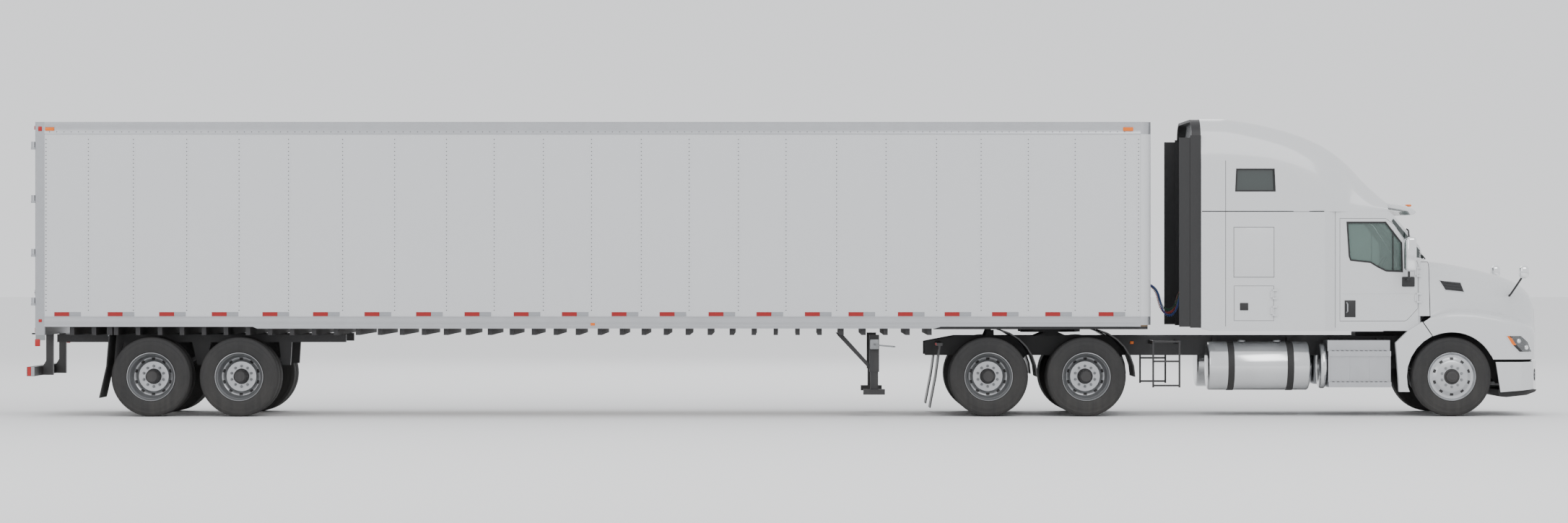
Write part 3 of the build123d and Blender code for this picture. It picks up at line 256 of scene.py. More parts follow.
@dataclass(frozen=True)
class Finish:
    """One surface finish, with its own values on the shader and the shared groups for wear."""

    name: str
    colour: tuple[float, float, float]
    roughness: float
    metallic: float = 0.0
    coat: float = 0.0
    dust: float = 0.3
    reach: float = 1.6
    coarse: float = 12.0
    fine: float = 180.0
    bump: float = 0.1
    depth: float = 0.0006
    tone: float = 0.06
    transmission: float = 0.0
    ior: float = 1.5
    glow: float = 0.0
    zone: Zone = Zone.NONE

    def make(self, groups: dict[str, Tree]) -> bpy.types.Material:
        """Build the material.

        Args:
            groups: the shared node groups by name.

        Returns:
            The new material.
        """
        material = bpy.data.materials.new(self.name)
        material.use_nodes = True
        tree = material.node_tree
        tree.nodes.clear()
        bench = NodeBench(tree)
        shader = bench.add("ShaderNodeBsdfPrincipled")
        shader.inputs["Coat Weight"].default_value = self.coat
        shader.inputs["Coat Roughness"].default_value = 0.08
        shader.inputs["IOR"].default_value = self.ior
        shader.inputs["Transmission Weight"].default_value = self.transmission
        output = bench.add("ShaderNodeOutputMaterial")
        tree.links.new(shader.outputs[0], output.inputs[0])
        grain = bench.add("ShaderNodeGroup", node_tree=groups["fine_grain"])
        grain.inputs["Coarse"].default_value = self.coarse
        grain.inputs["Fine"].default_value = self.fine
        shade = tuple(channel * (1.0 - self.tone * 2.0) for channel in self.colour)
        colour = bench.mix(grain.outputs["Tone"], rgba(shade), rgba(self.colour))
        metallic: object = self.metallic
        if self.zone is not Zone.NONE:
            colour, metallic = self.second_finish(bench, colour)
        wear = bench.add("ShaderNodeGroup", node_tree=groups["road_dust"])
        wear.inputs["Amount"].default_value = self.dust
        wear.inputs["Reach"].default_value = self.reach
        wear.inputs["Roughness"].default_value = self.roughness
        tree.links.new(colour, wear.inputs["Colour"])
        tree.links.new(wear.outputs["Colour"], shader.inputs["Base Color"])
        tree.links.new(wear.outputs["Roughness"], shader.inputs["Roughness"])
        if isinstance(metallic, Socket):
            tree.links.new(metallic, shader.inputs["Metallic"])
        else:
            shader.inputs["Metallic"].default_value = metallic
        if self.glow:
            shader.inputs["Emission Color"].default_value = rgba(self.colour)
            shader.inputs["Emission Strength"].default_value = self.glow
        if self.bump:
            relief = bench.add(
                "ShaderNodeBump",
                {"Strength": self.bump, "Distance": self.depth, "Height": grain.outputs["Height"]},
            )
            tree.links.new(relief.outputs[0], shader.inputs["Normal"])
        return material

    def second_finish(self, bench: NodeBench, colour: Socket) -> tuple:
        """Mix in the finish that part of a node wears, by its place.

        Args:
            bench: the material's bench.
            colour: the first finish's colour.

        Returns:
            The mixed colour and the metallic socket.
        """
        _, axes = bench.place()
        height, length = axes.outputs["Z"], axes.outputs["X"]
        metal, other = 0.9, (0.46, 0.47, 0.49)
        if self.zone is Zone.RAILS:
            top = bench.step(height, 3.914)
            low = bench.math("SUBTRACT", 1.0, bench.step(height, 1.388))
            mask = bench.math("MAXIMUM", top, low)
        elif self.zone is Zone.UNDER_DECK:
            mask = bench.math("SUBTRACT", 1.0, bench.step(height, 1.249))
            metal, other = 0.0, (0.018, 0.018, 0.02)
        elif self.zone is Zone.GUARD:
            mask = bench.math("SUBTRACT", 1.0, bench.step(height, 1.128))
            metal, other = 0.0, (0.02, 0.02, 0.022)
        elif self.zone is Zone.FRONT_FENDERS:
            mask = bench.step(length, along(3.5))
            metal, other = 0.0, (0.63, 0.64, 0.65)
        elif self.zone is Zone.LADDERS:
            mask = bench.math("SUBTRACT", 1.0, bench.step(length, along(2.1)))
            metal, other = 0.0, (0.018, 0.018, 0.02)
        else:
            mask = bench.math("SUBTRACT", 1.0, bench.step(length, along(-14.1385), 0.0004))
        mixed = bench.mix(mask, colour, rgba(other))
        shine = bench.math("MULTIPLY_ADD", mask, metal - self.metallic)
        shine.node.inputs[2].default_value = self.metallic
        return mixed, shine


FINISHES = (
    Finish("gloss_white_paint", (0.63, 0.64, 0.65), 0.24, coat=0.8, dust=0.08, reach=1.3, bump=0.03,
           tone=0.008),
    Finish("trailer_white_sheet", (0.62, 0.63, 0.645), 0.34, coat=0.25, dust=0.07, reach=2.0, coarse=1.3,
           fine=9.0, bump=0.35, depth=0.004, tone=0.012, zone=Zone.RAILS),
    Finish("trailer_post_grey", (0.40, 0.41, 0.43), 0.4, metallic=0.75, dust=0.12, zone=Zone.GUARD),
    Finish("rear_door_white", (0.62, 0.63, 0.645), 0.36, coat=0.2, dust=0.08, zone=Zone.REAR_FITTINGS),
    Finish("rail_aluminium", (0.50, 0.51, 0.53), 0.36, metallic=0.9, dust=0.1, reach=1.8, coarse=5.0,
           bump=0.12),
    Finish("polished_aluminium", (0.74, 0.75, 0.76), 0.18, metallic=1.0, dust=0.05, reach=1.1, coarse=3.0,
           bump=0.05),
    Finish("roof_aluminium", (0.74, 0.75, 0.76), 0.45, metallic=0.6, dust=0.2, coarse=2.0, bump=0.2,
           depth=0.003),
    Finish("chassis_black", (0.016, 0.016, 0.018), 0.45, dust=0.07, reach=1.5, bump=0.15),
    Finish("cast_black", (0.022, 0.022, 0.024), 0.6, dust=0.09, reach=1.6, coarse=60.0, bump=0.35, depth=0.001),
    Finish("black_moulding", (0.016, 0.016, 0.017), 0.5, dust=0.05, reach=1.3, coarse=40.0, fine=420.0,
           bump=0.3),
    Finish("black_rubber", (0.014, 0.014, 0.015), 0.68, dust=0.07, reach=1.2, coarse=30.0, bump=0.3, tone=0.15),
    Finish("tyre_rubber", (0.016, 0.016, 0.017), 0.72, dust=0.08, reach=1.3, coarse=22.0, bump=0.4, depth=0.001,
           tone=0.2),
    Finish("bright_chrome", (0.88, 0.89, 0.90), 0.06, metallic=1.0, dust=0.04, bump=0.0),
    Finish("tinted_glass", (0.30, 0.40, 0.37), 0.03, dust=0.01, bump=0.0, tone=0.0, transmission=0.75,
           ior=1.45),
    Finish("clear_lens", (0.93, 0.95, 0.96), 0.02, dust=0.01, bump=0.0, tone=0.0, transmission=0.95),
    Finish("amber_lens", (0.80, 0.16, 0.0), 0.25, dust=0.05, bump=0.25, coarse=140.0, tone=0.1, glow=0.1),
    Finish("red_lens", (0.42, 0.004, 0.004), 0.25, dust=0.05, bump=0.25, coarse=140.0, tone=0.1, glow=0.05),
    Finish("red_tape", (0.36, 0.002, 0.003), 0.35, dust=0.02, reach=2.0, coarse=260.0, fine=700.0, bump=0.3,
           tone=0.15),
    Finish("white_tape", (0.33, 0.34, 0.36), 0.3, dust=0.03, reach=2.0, coarse=260.0, fine=700.0, bump=0.3,
           tone=0.08),
    Finish("cab_plastic", (0.075, 0.075, 0.08), 0.6, dust=0.0, coarse=70.0, bump=0.3),
    Finish("seat_cloth", (0.09, 0.095, 0.105), 0.9, dust=0.0, coarse=160.0, fine=900.0, bump=0.6, depth=0.001,
           tone=0.2),
    Finish("deck_boards", (0.36, 0.25, 0.15), 0.7, dust=0.1, coarse=20.0, bump=0.3, tone=0.2,
           zone=Zone.UNDER_DECK),
    Finish("red_hose", (0.50, 0.03, 0.025), 0.42, dust=0.15, coarse=60.0, bump=0.2),
    Finish("blue_hose", (0.03, 0.08, 0.34), 0.42, dust=0.15, coarse=60.0, bump=0.2),
    Finish("green_cable", (0.02, 0.10, 0.05), 0.5, dust=0.15, coarse=60.0, bump=0.2),
    Finish("grey_steel", (0.30, 0.31, 0.32), 0.45, metallic=0.7, dust=0.08, coarse=30.0, bump=0.25),
    Finish("wheel_alloy", (0.52, 0.53, 0.545), 0.33, metallic=0.9, dust=0.06, reach=1.0, coarse=6.0, bump=0.05),
    Finish("rivet_steel", (0.16, 0.165, 0.17), 0.4, metallic=0.6, dust=0.05),
    Finish("fender_mix", (0.016, 0.016, 0.017), 0.4, dust=0.05, coarse=40.0, bump=0.12,
           zone=Zone.FRONT_FENDERS),
    Finish("step_metal", (0.50, 0.51, 0.53), 0.34, metallic=0.9, dust=0.08, coarse=5.0, bump=0.12,
           zone=Zone.LADDERS),
    Finish("lamp_housing", (0.02, 0.02, 0.022), 0.25, dust=0.0, bump=0.0),
    Finish("dark_glass", (0.022, 0.032, 0.03), 0.04, coat=1.0, dust=0.01, bump=0.0, tone=0.0),
)

NODE_FINISH = {
    "gloss_white_paint": ("cab_body", "bumper", "cab_door_left", "cab_door_right", "locker_door_left",
                          "locker_door_right"),
    "trailer_white_sheet": ("trailer_walls",),
    "trailer_post_grey": ("rear_frame",),
    "rear_door_white": ("rear_door_left", "rear_door_right"),
    "roof_aluminium": ("trailer_roof",),
    "chassis_black": ("tractor_frame", "landing_gear", "trailer_bogie"),
    "cast_black": ("fifth_wheel", "tractor_axles", "engine", "knuckle_left", "knuckle_right", "tie_rod"),
    "black_moulding": ("side_extenders",),
    "fender_mix": ("mudguards",),
    "black_rubber": ("trailer_flaps",),
    "step_metal": ("steps",),
    "tinted_glass": ("cab_glass", "door_glass_left", "door_glass_right"),
    "deck_boards": ("trailer_floor",),
}


@dataclass
class PaintShop:
    """Makes the finishes once and puts them on pieces and on the frame's own nodes."""

    materials: dict[str, bpy.types.Material] = field(default_factory=dict)

    def mix_all(self) -> None:
        """Build the shared groups and every finish."""
        groups = {"road_dust": road_dust_group(), "fine_grain": fine_grain_group()}
        for finish in FINISHES:
            self.materials[finish.name] = finish.make(groups)

    def coat(self, piece: Piece, finish: str) -> None:
        """Give a piece one finish."""
        piece.data.materials.clear()
        piece.data.materials.append(self.materials[finish])

    def coat_frame(self) -> None:
        """Give each node of the frame that stays in sight its finish."""
        for finish, names in NODE_FINISH.items():
            for name in names:
                self.coat(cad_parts[name], finish)


PAINT = PaintShop()


# The bench for modelling


def put_down() -> None:
    """Leave edit mode and select nothing."""
    if bpy.context.object is not None and bpy.context.object.mode != "OBJECT":
        bpy.ops.object.mode_set(mode="OBJECT")
    bpy.ops.object.select_all(action="DESELECT")


def take(piece: Piece) -> None:
    """Select one piece alone and make it the active one."""
    put_down()
    piece.select_set(True)
    bpy.context.view_layer.objects.active = piece


def settle(piece: Piece) -> Piece:
    """Put a piece's place into its mesh, and return it."""
    take(piece)
    bpy.ops.object.transform_apply(location=True, rotation=True, scale=True)
    return piece


def face_out(piece: Piece) -> Piece:
    """Merge doubles and turn every face outwards, and return the piece."""
    take(piece)
    bpy.ops.object.mode_set(mode="EDIT")
    bpy.ops.mesh.select_all(action="SELECT")
    bpy.ops.mesh.remove_doubles(threshold=0.00005)
    bpy.ops.mesh.normals_make_consistent(inside=False)
    bpy.ops.object.mode_set(mode="OBJECT")
    return piece


def use_modifier(piece: Piece, kind: str, **settings: object) -> Piece:
    """Add a modifier with these settings, apply it, and return the piece."""
    take(piece)
    modifier = piece.modifiers.new(kind.lower(), kind)
    for name, value in settings.items():
        setattr(modifier, name, value)
    bpy.ops.object.modifier_apply(modifier=modifier.name)
    return piece


def soften(piece: Piece, width: float, segments: int = 2) -> Piece:
    """Round a piece's sharp edges, and return it."""
    if width <= 0.0:
        return piece
    angle = math.radians(35)
    return use_modifier(piece, "BEVEL", width=width, segments=segments, limit_method="ANGLE", angle_limit=angle)


def block(name: str, low: Point, high: Point, edge: float = 0.003, segments: int = 2) -> Piece:
    """Model a box with rounded edges.

    Args:
        name: the piece's name.
        low: lowest corner.
        high: highest corner.
        edge: radius of the edges.
        segments: faces round each edge.

    Returns:
        The piece.
    """
    put_down()
    centre = [(a + b) / 2 for a, b in zip(low, high)]
    bpy.ops.mesh.primitive_cube_add(size=1.0, location=centre)
    piece = bpy.context.object
    piece.name = name
    bpy.ops.object.mode_set(mode="EDIT")
    bpy.ops.mesh.select_all(action="SELECT")
    size = [abs(b - a) for a, b in zip(low, high)]
    bpy.ops.transform.resize(value=size, center_override=centre)
    bpy.ops.object.mode_set(mode="OBJECT")
    return soften(settle(piece), edge, segments)


def wire(name: str, points: list[Point]) -> Piece:
    """Draw a chain of edges from point to point, and return it in edit mode with all selected."""
    put_down()
    bpy.ops.mesh.primitive_plane_add(size=0.02, location=points[0])
    piece = bpy.context.object
    piece.name = name
    bpy.ops.object.mode_set(mode="EDIT")
    bpy.ops.mesh.select_all(action="SELECT")
    bpy.ops.mesh.merge(type="CENTER")
    for before, after in zip(points, points[1:]):
        step = [b - a for a, b in zip(before, after)]
        bpy.ops.mesh.extrude_region_move(TRANSFORM_OT_translate={"value": step})
    bpy.ops.mesh.select_all(action="SELECT")
    return piece


def plate(name: str, outline: list[Point], depth: Point, edge: float = 0.002, rim: float = 0.0) -> Piece:
    """Model a flat plate, or a ring that follows the outline.

    Args:
        name: the piece's name.
        outline: corners in order.
        depth: how far and which way the plate is thick.
        edge: radius of the edges.
        rim: width of the ring, or 0 for a whole plate.

    Returns:
        The piece.
    """
    piece = wire(name, outline)
    bpy.ops.mesh.edge_face_add()
    if rim:
        bpy.ops.mesh.inset(thickness=rim, depth=0.0)
        bpy.ops.mesh.delete(type="FACE")
        bpy.ops.mesh.select_all(action="SELECT")
    bpy.ops.mesh.extrude_region_move(TRANSFORM_OT_translate={"value": depth})
    return soften(settle(face_out(piece)), edge)


def turned(name: str, profile: Line, centre: Point, side: int = 1, steps: int = 48) -> Piece:
    """Turn a profile about an axle along y.

    Args:
        name: the piece's name.
        profile: (outwards along the axle, radius) in order.
        centre: middle of the axle.
        side: sign of y that counts as outwards.
        steps: faces round the turn.

    Returns:
        The piece.
    """
    points = [(centre[0], centre[1] + side * out, centre[2] + radius) for out, radius in profile]
    piece = wire(name, points)
    bpy.ops.mesh.spin(steps=steps, angle=2 * math.pi, center=centre, axis=(0.0, 1.0, 0.0))
    return settle(face_out(piece))


def bar(name: str, start: Point, end: Point, radius: float, sides: int = 12, edge: float = 0.002) -> Piece:
    """Model a round bar with eased ends between two points, and return it."""
    put_down()
    run = Vector(end) - Vector(start)
    middle = (Vector(start) + Vector(end)) / 2
    turn = run.to_track_quat("Z", "Y").to_euler()
    bpy.ops.mesh.primitive_cylinder_add(
        vertices=sides, radius=radius, depth=run.length, location=middle, rotation=turn
    )
    piece = bpy.context.object
    piece.name = name
    settle(piece)
    angle = math.radians(60)
    return use_modifier(piece, "BEVEL", width=edge, segments=1, limit_method="ANGLE", angle_limit=angle)


def pipe(
    name: str, points: list[Point], radius: float, closed: bool = False, smooth: bool = False, steps: int = 4
) -> Piece:
    """Model a bent tube through points.

    Args:
        name: the piece's name.
        points: the tube's middle line.
        radius: outside radius.
        closed: whether the line joins up.
        smooth: whether the line is a smooth curve near the points.
        steps: points of a smooth curve from each point to the next.

    Returns:
        The piece, as a mesh.
    """
    put_down()
    data = bpy.data.curves.new(name, "CURVE")
    data.dimensions = "3D"
    data.bevel_depth = radius
    data.bevel_resolution = 2
    data.resolution_u = steps
    data.use_fill_caps = True
    spline = data.splines.new("NURBS" if smooth else "POLY")
    spline.points.add(len(points) - 1)
    for point, place in zip(spline.points, points):
        point.co = (*place, 1.0)
    spline.use_cyclic_u = closed
    if smooth:
        spline.order_u = 3
        spline.use_endpoint_u = not closed
    piece = bpy.data.objects.new(name, data)
    bpy.context.scene.collection.objects.link(piece)
    take(piece)
    bpy.ops.object.convert(target="MESH")
    return face_out(bpy.context.object)


def row(piece: Piece, count: int, step: Point) -> Piece:
    """Repeat a piece in a row, all in one mesh, and return it."""
    return use_modifier(piece, "ARRAY", count=count, use_relative_offset=False, use_constant_offset=True,
                        constant_offset_displace=step)


def both_sides(piece: Piece) -> Piece:
    """Add the same piece on the other side of the truck, and return both as one."""
    use_modifier(piece, "MIRROR", use_axis=(False, True, False), use_mirror_merge=False)
    return face_out(piece)


def mirrored(piece: Piece, name: str) -> Piece:
    """Copy a piece, with a mesh of its own, to the truck's other side, and return the copy."""
    twin = piece.copy()
    twin.data = piece.data.copy()
    twin.name = name
    bpy.context.scene.collection.objects.link(twin)
    twin.data.transform(Matrix.Diagonal((1.0, -1.0, 1.0, 1.0)))
    twin.data.flip_normals()
    return twin


def joined(name: str, pieces: list[Piece]) -> Piece:
    """Join pieces into one and return it."""
    put_down()
    for piece in pieces:
        piece.select_set(True)
    bpy.context.view_layer.objects.active = pieces[0]
    if len(pieces) > 1:
        bpy.ops.object.join()
    pieces[0].name = name
    return pieces[0]


def fit(
    piece: Piece, finish: str, body: str, stands_for: tuple[str, ...] = (), round_off: float = 32.0
) -> Piece:
    """Finish a piece and fix it to its body.

    Args:
        piece: the piece.
        finish: name of its finish, or nothing where the piece has it already.
        body: name of the body it rides on.
        stands_for: nodes of the frame that it replaces.
        round_off: largest angle between faces that are shaded as one, in degrees.

    Returns:
        The piece.
    """
    if finish:
        PAINT.coat(piece, finish)
    take(piece)
    bpy.ops.object.shade_smooth_by_angle(angle=math.radians(round_off))
    put_down()
    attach(piece, body)
    if stands_for:
        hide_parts(*stands_for)
    return piece


def fitting(
    name: str, profile: Line, place: Point, degrees: float, axis: str = "Z", steps: int = 24
) -> Piece:
    """Model a turned piece whose axle isn't along y.

    Args:
        name: the piece's name.
        profile: (outwards along the axle, radius) in order.
        place: middle of the axle.
        degrees: how far the axle is turned from y.
        axis: what it is turned about.
        steps: faces round the turn.

    Returns:
        The piece.
    """
    piece = turned(name, profile, (0.0, 0.0, 0.0), 1, steps)
    piece.data.transform(Matrix.Translation(place) @ Matrix.Rotation(math.radians(degrees), 4, axis))
    return piece


def skin_of(name: str, rings: list[list[Point]], capped: bool = False) -> Piece:
    """Make a sheet through rows of matching points, for curved panels.

    Args:
        name: the piece's name.
        rings: rows of points.
        capped: whether the first and last rows are filled with a face.

    Returns:
        The piece.
    """
    count = len(rings[0])
    points = [point for ring in rings for point in ring]
    faces = []
    for k in range(len(rings) - 1):
        for i in range(count - 1):
            faces.append((k * count + i, k * count + i + 1, (k + 1) * count + i + 1, (k + 1) * count + i))
    if capped:
        faces += [tuple(range(count)), tuple(range((len(rings) - 1) * count, len(rings) * count))]
    mesh = bpy.data.meshes.new(name)
    mesh.from_pydata(points, [], faces)
    piece = bpy.data.objects.new(name, mesh)
    bpy.context.scene.collection.objects.link(piece)
    return face_out(piece)


def smooth_between(rows: list[tuple[float, ...]], count: int) -> list[tuple[float, ...]]:
    """Add smooth in-between rows to a table by its first column.

    Args:
        rows: rows of numbers, the first of them rising.
        count: rows wanted from each row to the next.

    Returns:
        The longer table.
    """
    result = []
    for i in range(len(rows) - 1):
        p0, p1, p2, p3 = rows[max(i - 1, 0)], rows[i], rows[i + 1], rows[min(i + 2, len(rows) - 1)]
        for k in range(count):
            t = k / count
            span = p2[0] - p1[0]
            line = [p1[0] + span * t]
            for c in range(1, len(p1)):
                m1 = (p2[c] - p0[c]) / (p2[0] - p0[0]) * span
                m2 = (p3[c] - p1[c]) / (p3[0] - p1[0]) * span
                h00, h10 = 2 * t**3 - 3 * t**2 + 1, t**3 - 2 * t**2 + t
                h01, h11 = -2 * t**3 + 3 * t**2, t**3 - t**2
                line.append(h00 * p1[c] + h10 * m1 + h01 * p2[c] + h11 * m2)
            result.append(tuple(line))
    result.append(tuple(rows[-1]))
    return result


def rounded(corners: Line, radius: float, steps: int = 4) -> Line:
    """Ease the inner corners of an open line.

    Args:
        corners: points of the line.
        radius: how far from each corner the easing starts.
        steps: points in each eased corner.

    Returns:
        The eased line.
    """
    line = [corners[0]]
    for before, corner, after in zip(corners, corners[1:], corners[2:]):
        a, b, c = Vector(before), Vector(corner), Vector(after)
        reach = min(radius, (a - b).length * 0.45, (c - b).length * 0.45)
        start, end = b + (a - b).normalized() * reach, b + (c - b).normalized() * reach
        for k in range(steps + 1):
            t = k / steps
            line.append(tuple(start * (1 - t) ** 2 + b * 2 * t * (1 - t) + end * t**2))
    line.append(corners[-1])
    return line


def shoulder(low: Spot, high: Spot, low_slope: float, high_slope: float) -> Spot:
    """Return where a line up from low, at one slope, meets a line down from high, at another."""
    run = ((high[1] - low[1]) - high_slope * (low[0] - high[0])) / (low_slope - high_slope)
    return (low[0] - run, low[1] + low_slope * run)


def whole_arch(x: float, half: Line, ease: float) -> list[Point]:
    """Return one rounded cross-section from the left side over the top to the right side."""
    line = half + [(-y, z) for y, z in reversed(half)]
    return [(x, y, z) for y, z in rounded(line, ease, 5)]


def cut(piece: Piece, tool: Piece) -> Piece:
    """Cut a tool's shape out of a piece, remove the tool, and return the piece."""
    use_modifier(piece, "BOOLEAN", operation="DIFFERENCE", object=tool, solver="EXACT")
    bpy.data.objects.remove(tool)
    return piece


def skin_y(skin: Piece, x: float, z: float, side: int) -> float:
    """Return the y of a body's outer skin at a place seen from the side."""
    found, place, _, _ = skin.ray_cast(Vector((x, side * 3.0, z)), Vector((0.0, -side, 0.0)))
    return place.y if found else side * 1.0


def between(line: Line, share: float) -> tuple[float, float]:
    """Return the point at a share of a line's points."""
    place = share * (len(line) - 1)
    k = min(int(place), len(line) - 2)
    t = place - k
    return (line[k][0] * (1 - t) + line[k + 1][0] * t, line[k][1] * (1 - t) + line[k + 1][1] * t)


def patch(
    name: str,
    skin: Piece,
    upper: Line,
    lower: Line,
    side: int,
    lift: float,
    thick: float = 0.003,
) -> Piece:
    """Model a thin panel that follows a body's skin between two lines seen from the side.

    Args:
        name: the piece's name.
        skin: the body.
        upper: the upper line, as (x, z).
        lower: the lower line, as (x, z).
        side: sign of y.
        lift: how far the panel stands off the skin.
        thick: the panel's thickness.

    Returns:
        The piece.
    """
    rings = []
    for r in range(13):
        ring = []
        for c in range(17):
            (ux, uz), (lx, lz) = between(upper, c / 16), between(lower, c / 16)
            x, z = ux + (lx - ux) * r / 12, uz + (lz - uz) * r / 12
            ring.append((x, skin_y(skin, x, z, side) + side * lift, z))
        rings.append(ring)
    return use_modifier(skin_of(name, rings), "SOLIDIFY", thickness=thick, offset=0.0)


def rim_on(name: str, skin: Piece, loop: Line, side: int, lift: float, radius: float) -> Piece:
    """Run a thin tube along a closed line on a body's skin, and return it."""
    points = []
    for (ax, az), (bx, bz) in zip(loop, loop[1:] + loop[:1]):
        for k in range(6):
            x, z = ax + (bx - ax) * k / 6, az + (bz - az) * k / 6
            points.append((x, skin_y(skin, x, z, side) + side * lift, z))
    return pipe(name, points, radius, closed=True)


# Wheels


@dataclass
class Wheels:
    """Tyres, polished rims, hubs and nuts of every wheel; the right-hand ones are modelled and mirrored."""

    side: int = Side.RIGHT.value
    steps: int = 60
    hub_steps: int = 36
    hole_circle: float = 0.248
    hole_half_width: float = 0.018
    hole_half_angle: float = 6.1
    stud_circle: float = 0.143
    twin_spacing: float = 0.32
    front_x: float = along(5.515)
    positions: dict[str, tuple[float, float]] = field(
        default_factory=lambda: {
            "drive_front": (along(0.437), 1.1),
            "drive_rear": (along(-0.92), 1.1),
            "trailer_front": (along(-11.316), 1.155),
            "trailer_rear": (along(-12.538), 1.155),
        }
    )

    def tyre(self, name: str, centre: Point) -> Piece:
        """Model one tyre with its bead, sidewall rings, shoulder and grooved tread."""
        half = [
            (0.112, 0.338), (0.124, 0.341), (0.133, 0.356), (0.137, 0.385), (0.1392, 0.41), (0.1385, 0.44),
            (0.1392, 0.443), (0.1385, 0.447), (0.136, 0.48), (0.133, 0.498), (0.1345, 0.502), (0.131, 0.512),
            (0.124, 0.534), (0.112, 0.5445),
        ]
        for groove in (0.078, 0.042, 0.006):
            half += [(groove + 0.012, 0.5500), (groove + 0.009, 0.5500), (groove + 0.006, 0.538),
                     (groove, 0.538), (groove - 0.003, 0.5500)]
        profile = half + [(-out, radius) for out, radius in reversed(half)]
        profile += [(-0.1, 0.318), (0.1, 0.318), profile[0]]
        return turned(name, profile, centre, self.side, self.steps)

    def holes(self, piece: Piece, centre: Point) -> None:
        """Sink the ten hand holes into the disc's middle band."""
        PAINT.coat(piece, "wheel_alloy")
        piece.data.materials.append(PAINT.materials["chassis_black"])
        take(piece)
        bpy.ops.object.mode_set(mode="EDIT")
        bpy.ops.mesh.select_all(action="DESELECT")
        bpy.ops.mesh.select_mode(type="FACE")
        bpy.ops.object.mode_set(mode="OBJECT")
        for face in piece.data.polygons:
            dx, dz = face.center[0] - centre[0], face.center[2] - centre[2]
            angle = math.degrees(math.atan2(dx, dz)) % 36.0
            near = min(angle, 36.0 - angle) < self.hole_half_angle
            in_band = abs(math.hypot(dx, dz) - self.hole_circle) < self.hole_half_width
            face.select = near and in_band and face.normal[1] * self.side > 0.2
        bpy.ops.object.mode_set(mode="EDIT")
        bpy.ops.mesh.inset(thickness=0.0015, depth=0.0)
        bpy.ops.mesh.extrude_region_move(TRANSFORM_OT_translate={"value": (0.0, -self.side * 0.008, 0.0)})
        bpy.ops.object.mode_set(mode="OBJECT")
        dark = [face.index for face in piece.data.polygons if face.select]
        bpy.ops.object.mode_set(mode="EDIT")
        bpy.ops.mesh.select_mode(type="VERT")
        bpy.ops.object.mode_set(mode="OBJECT")
        for index in dark:
            piece.data.polygons[index].material_index = 1

    def nuts(self, name: str, centre: Point, face: float) -> Piece:
        """Model the ring of nuts on their studs."""
        made = []
        for k in range(10):
            angle = 2 * math.pi * k / 10
            x, z = centre[0] + self.stud_circle * math.sin(angle), centre[2] + self.stud_circle * math.cos(angle)
            y = centre[1] + self.side * face
            for proud, radius, corners, edge in ((0.026, 0.0195, 6, 0.003), (0.036, 0.010, 8, 0.002)):
                made.append(bar("nut", (x, y, z), (x, y + self.side * proud, z), radius, corners, edge))
        return joined(name, made)

    def mount(self, place: str, *parts: tuple[Piece, str]) -> None:
        """Fit a right-hand wheel's parts to its body and their mirror image to the left one."""
        for side in (Side.RIGHT, Side.LEFT):
            for part, finish in parts:
                kind = part.name.split("_")[0]
                piece = part if side is Side.RIGHT else mirrored(part, f"{kind}_{place}_left")
                stands_for = (f"{place}_{side.word}_{kind}",) if kind in ("tyre", "rim") else ()
                fit(piece, finish, f"{place}_{side.word}_wheel", stands_for)

    def front(self) -> None:
        """Model the steered wheels."""
        centre = (self.front_x, -1.05, AXLE_HEIGHT)
        tyre = self.tyre("tyre_front_right", centre)
        rim = turned("rim_front_right", [
            (-0.115, 0.300), (-0.115, 0.330), (-0.105, 0.334), (-0.09, 0.320), (0.09, 0.320), (0.118, 0.3335),
            (0.1265, 0.334), (0.1275, 0.330), (0.119, 0.3225), (0.105, 0.318), (0.088, 0.303), (0.086, 0.292),
            (0.0885, 0.2665), (0.0925, 0.2655), (0.1085, 0.2295), (0.112, 0.226), (0.1205, 0.205), (0.1205, 0.110),
            (0.104, 0.108), (0.103, 0.205), (0.07, 0.298), (-0.115, 0.300)], centre, self.side, self.steps)
        self.holes(rim, centre)
        hub = turned("hub_front_right", [
            (0.100, 0.108), (0.126, 0.108), (0.129, 0.104), (0.131, 0.088), (0.158, 0.080), (0.163, 0.074),
            (0.166, 0.050), (0.1685, 0.046), (0.1685, 0.0)], centre, self.side, self.hub_steps)
        nuts = self.nuts("nuts_front_right", centre, 0.1205)
        self.mount("front", (tyre, "tyre_rubber"), (rim, ""), (hub, "cast_black"), (nuts, "grey_steel"))

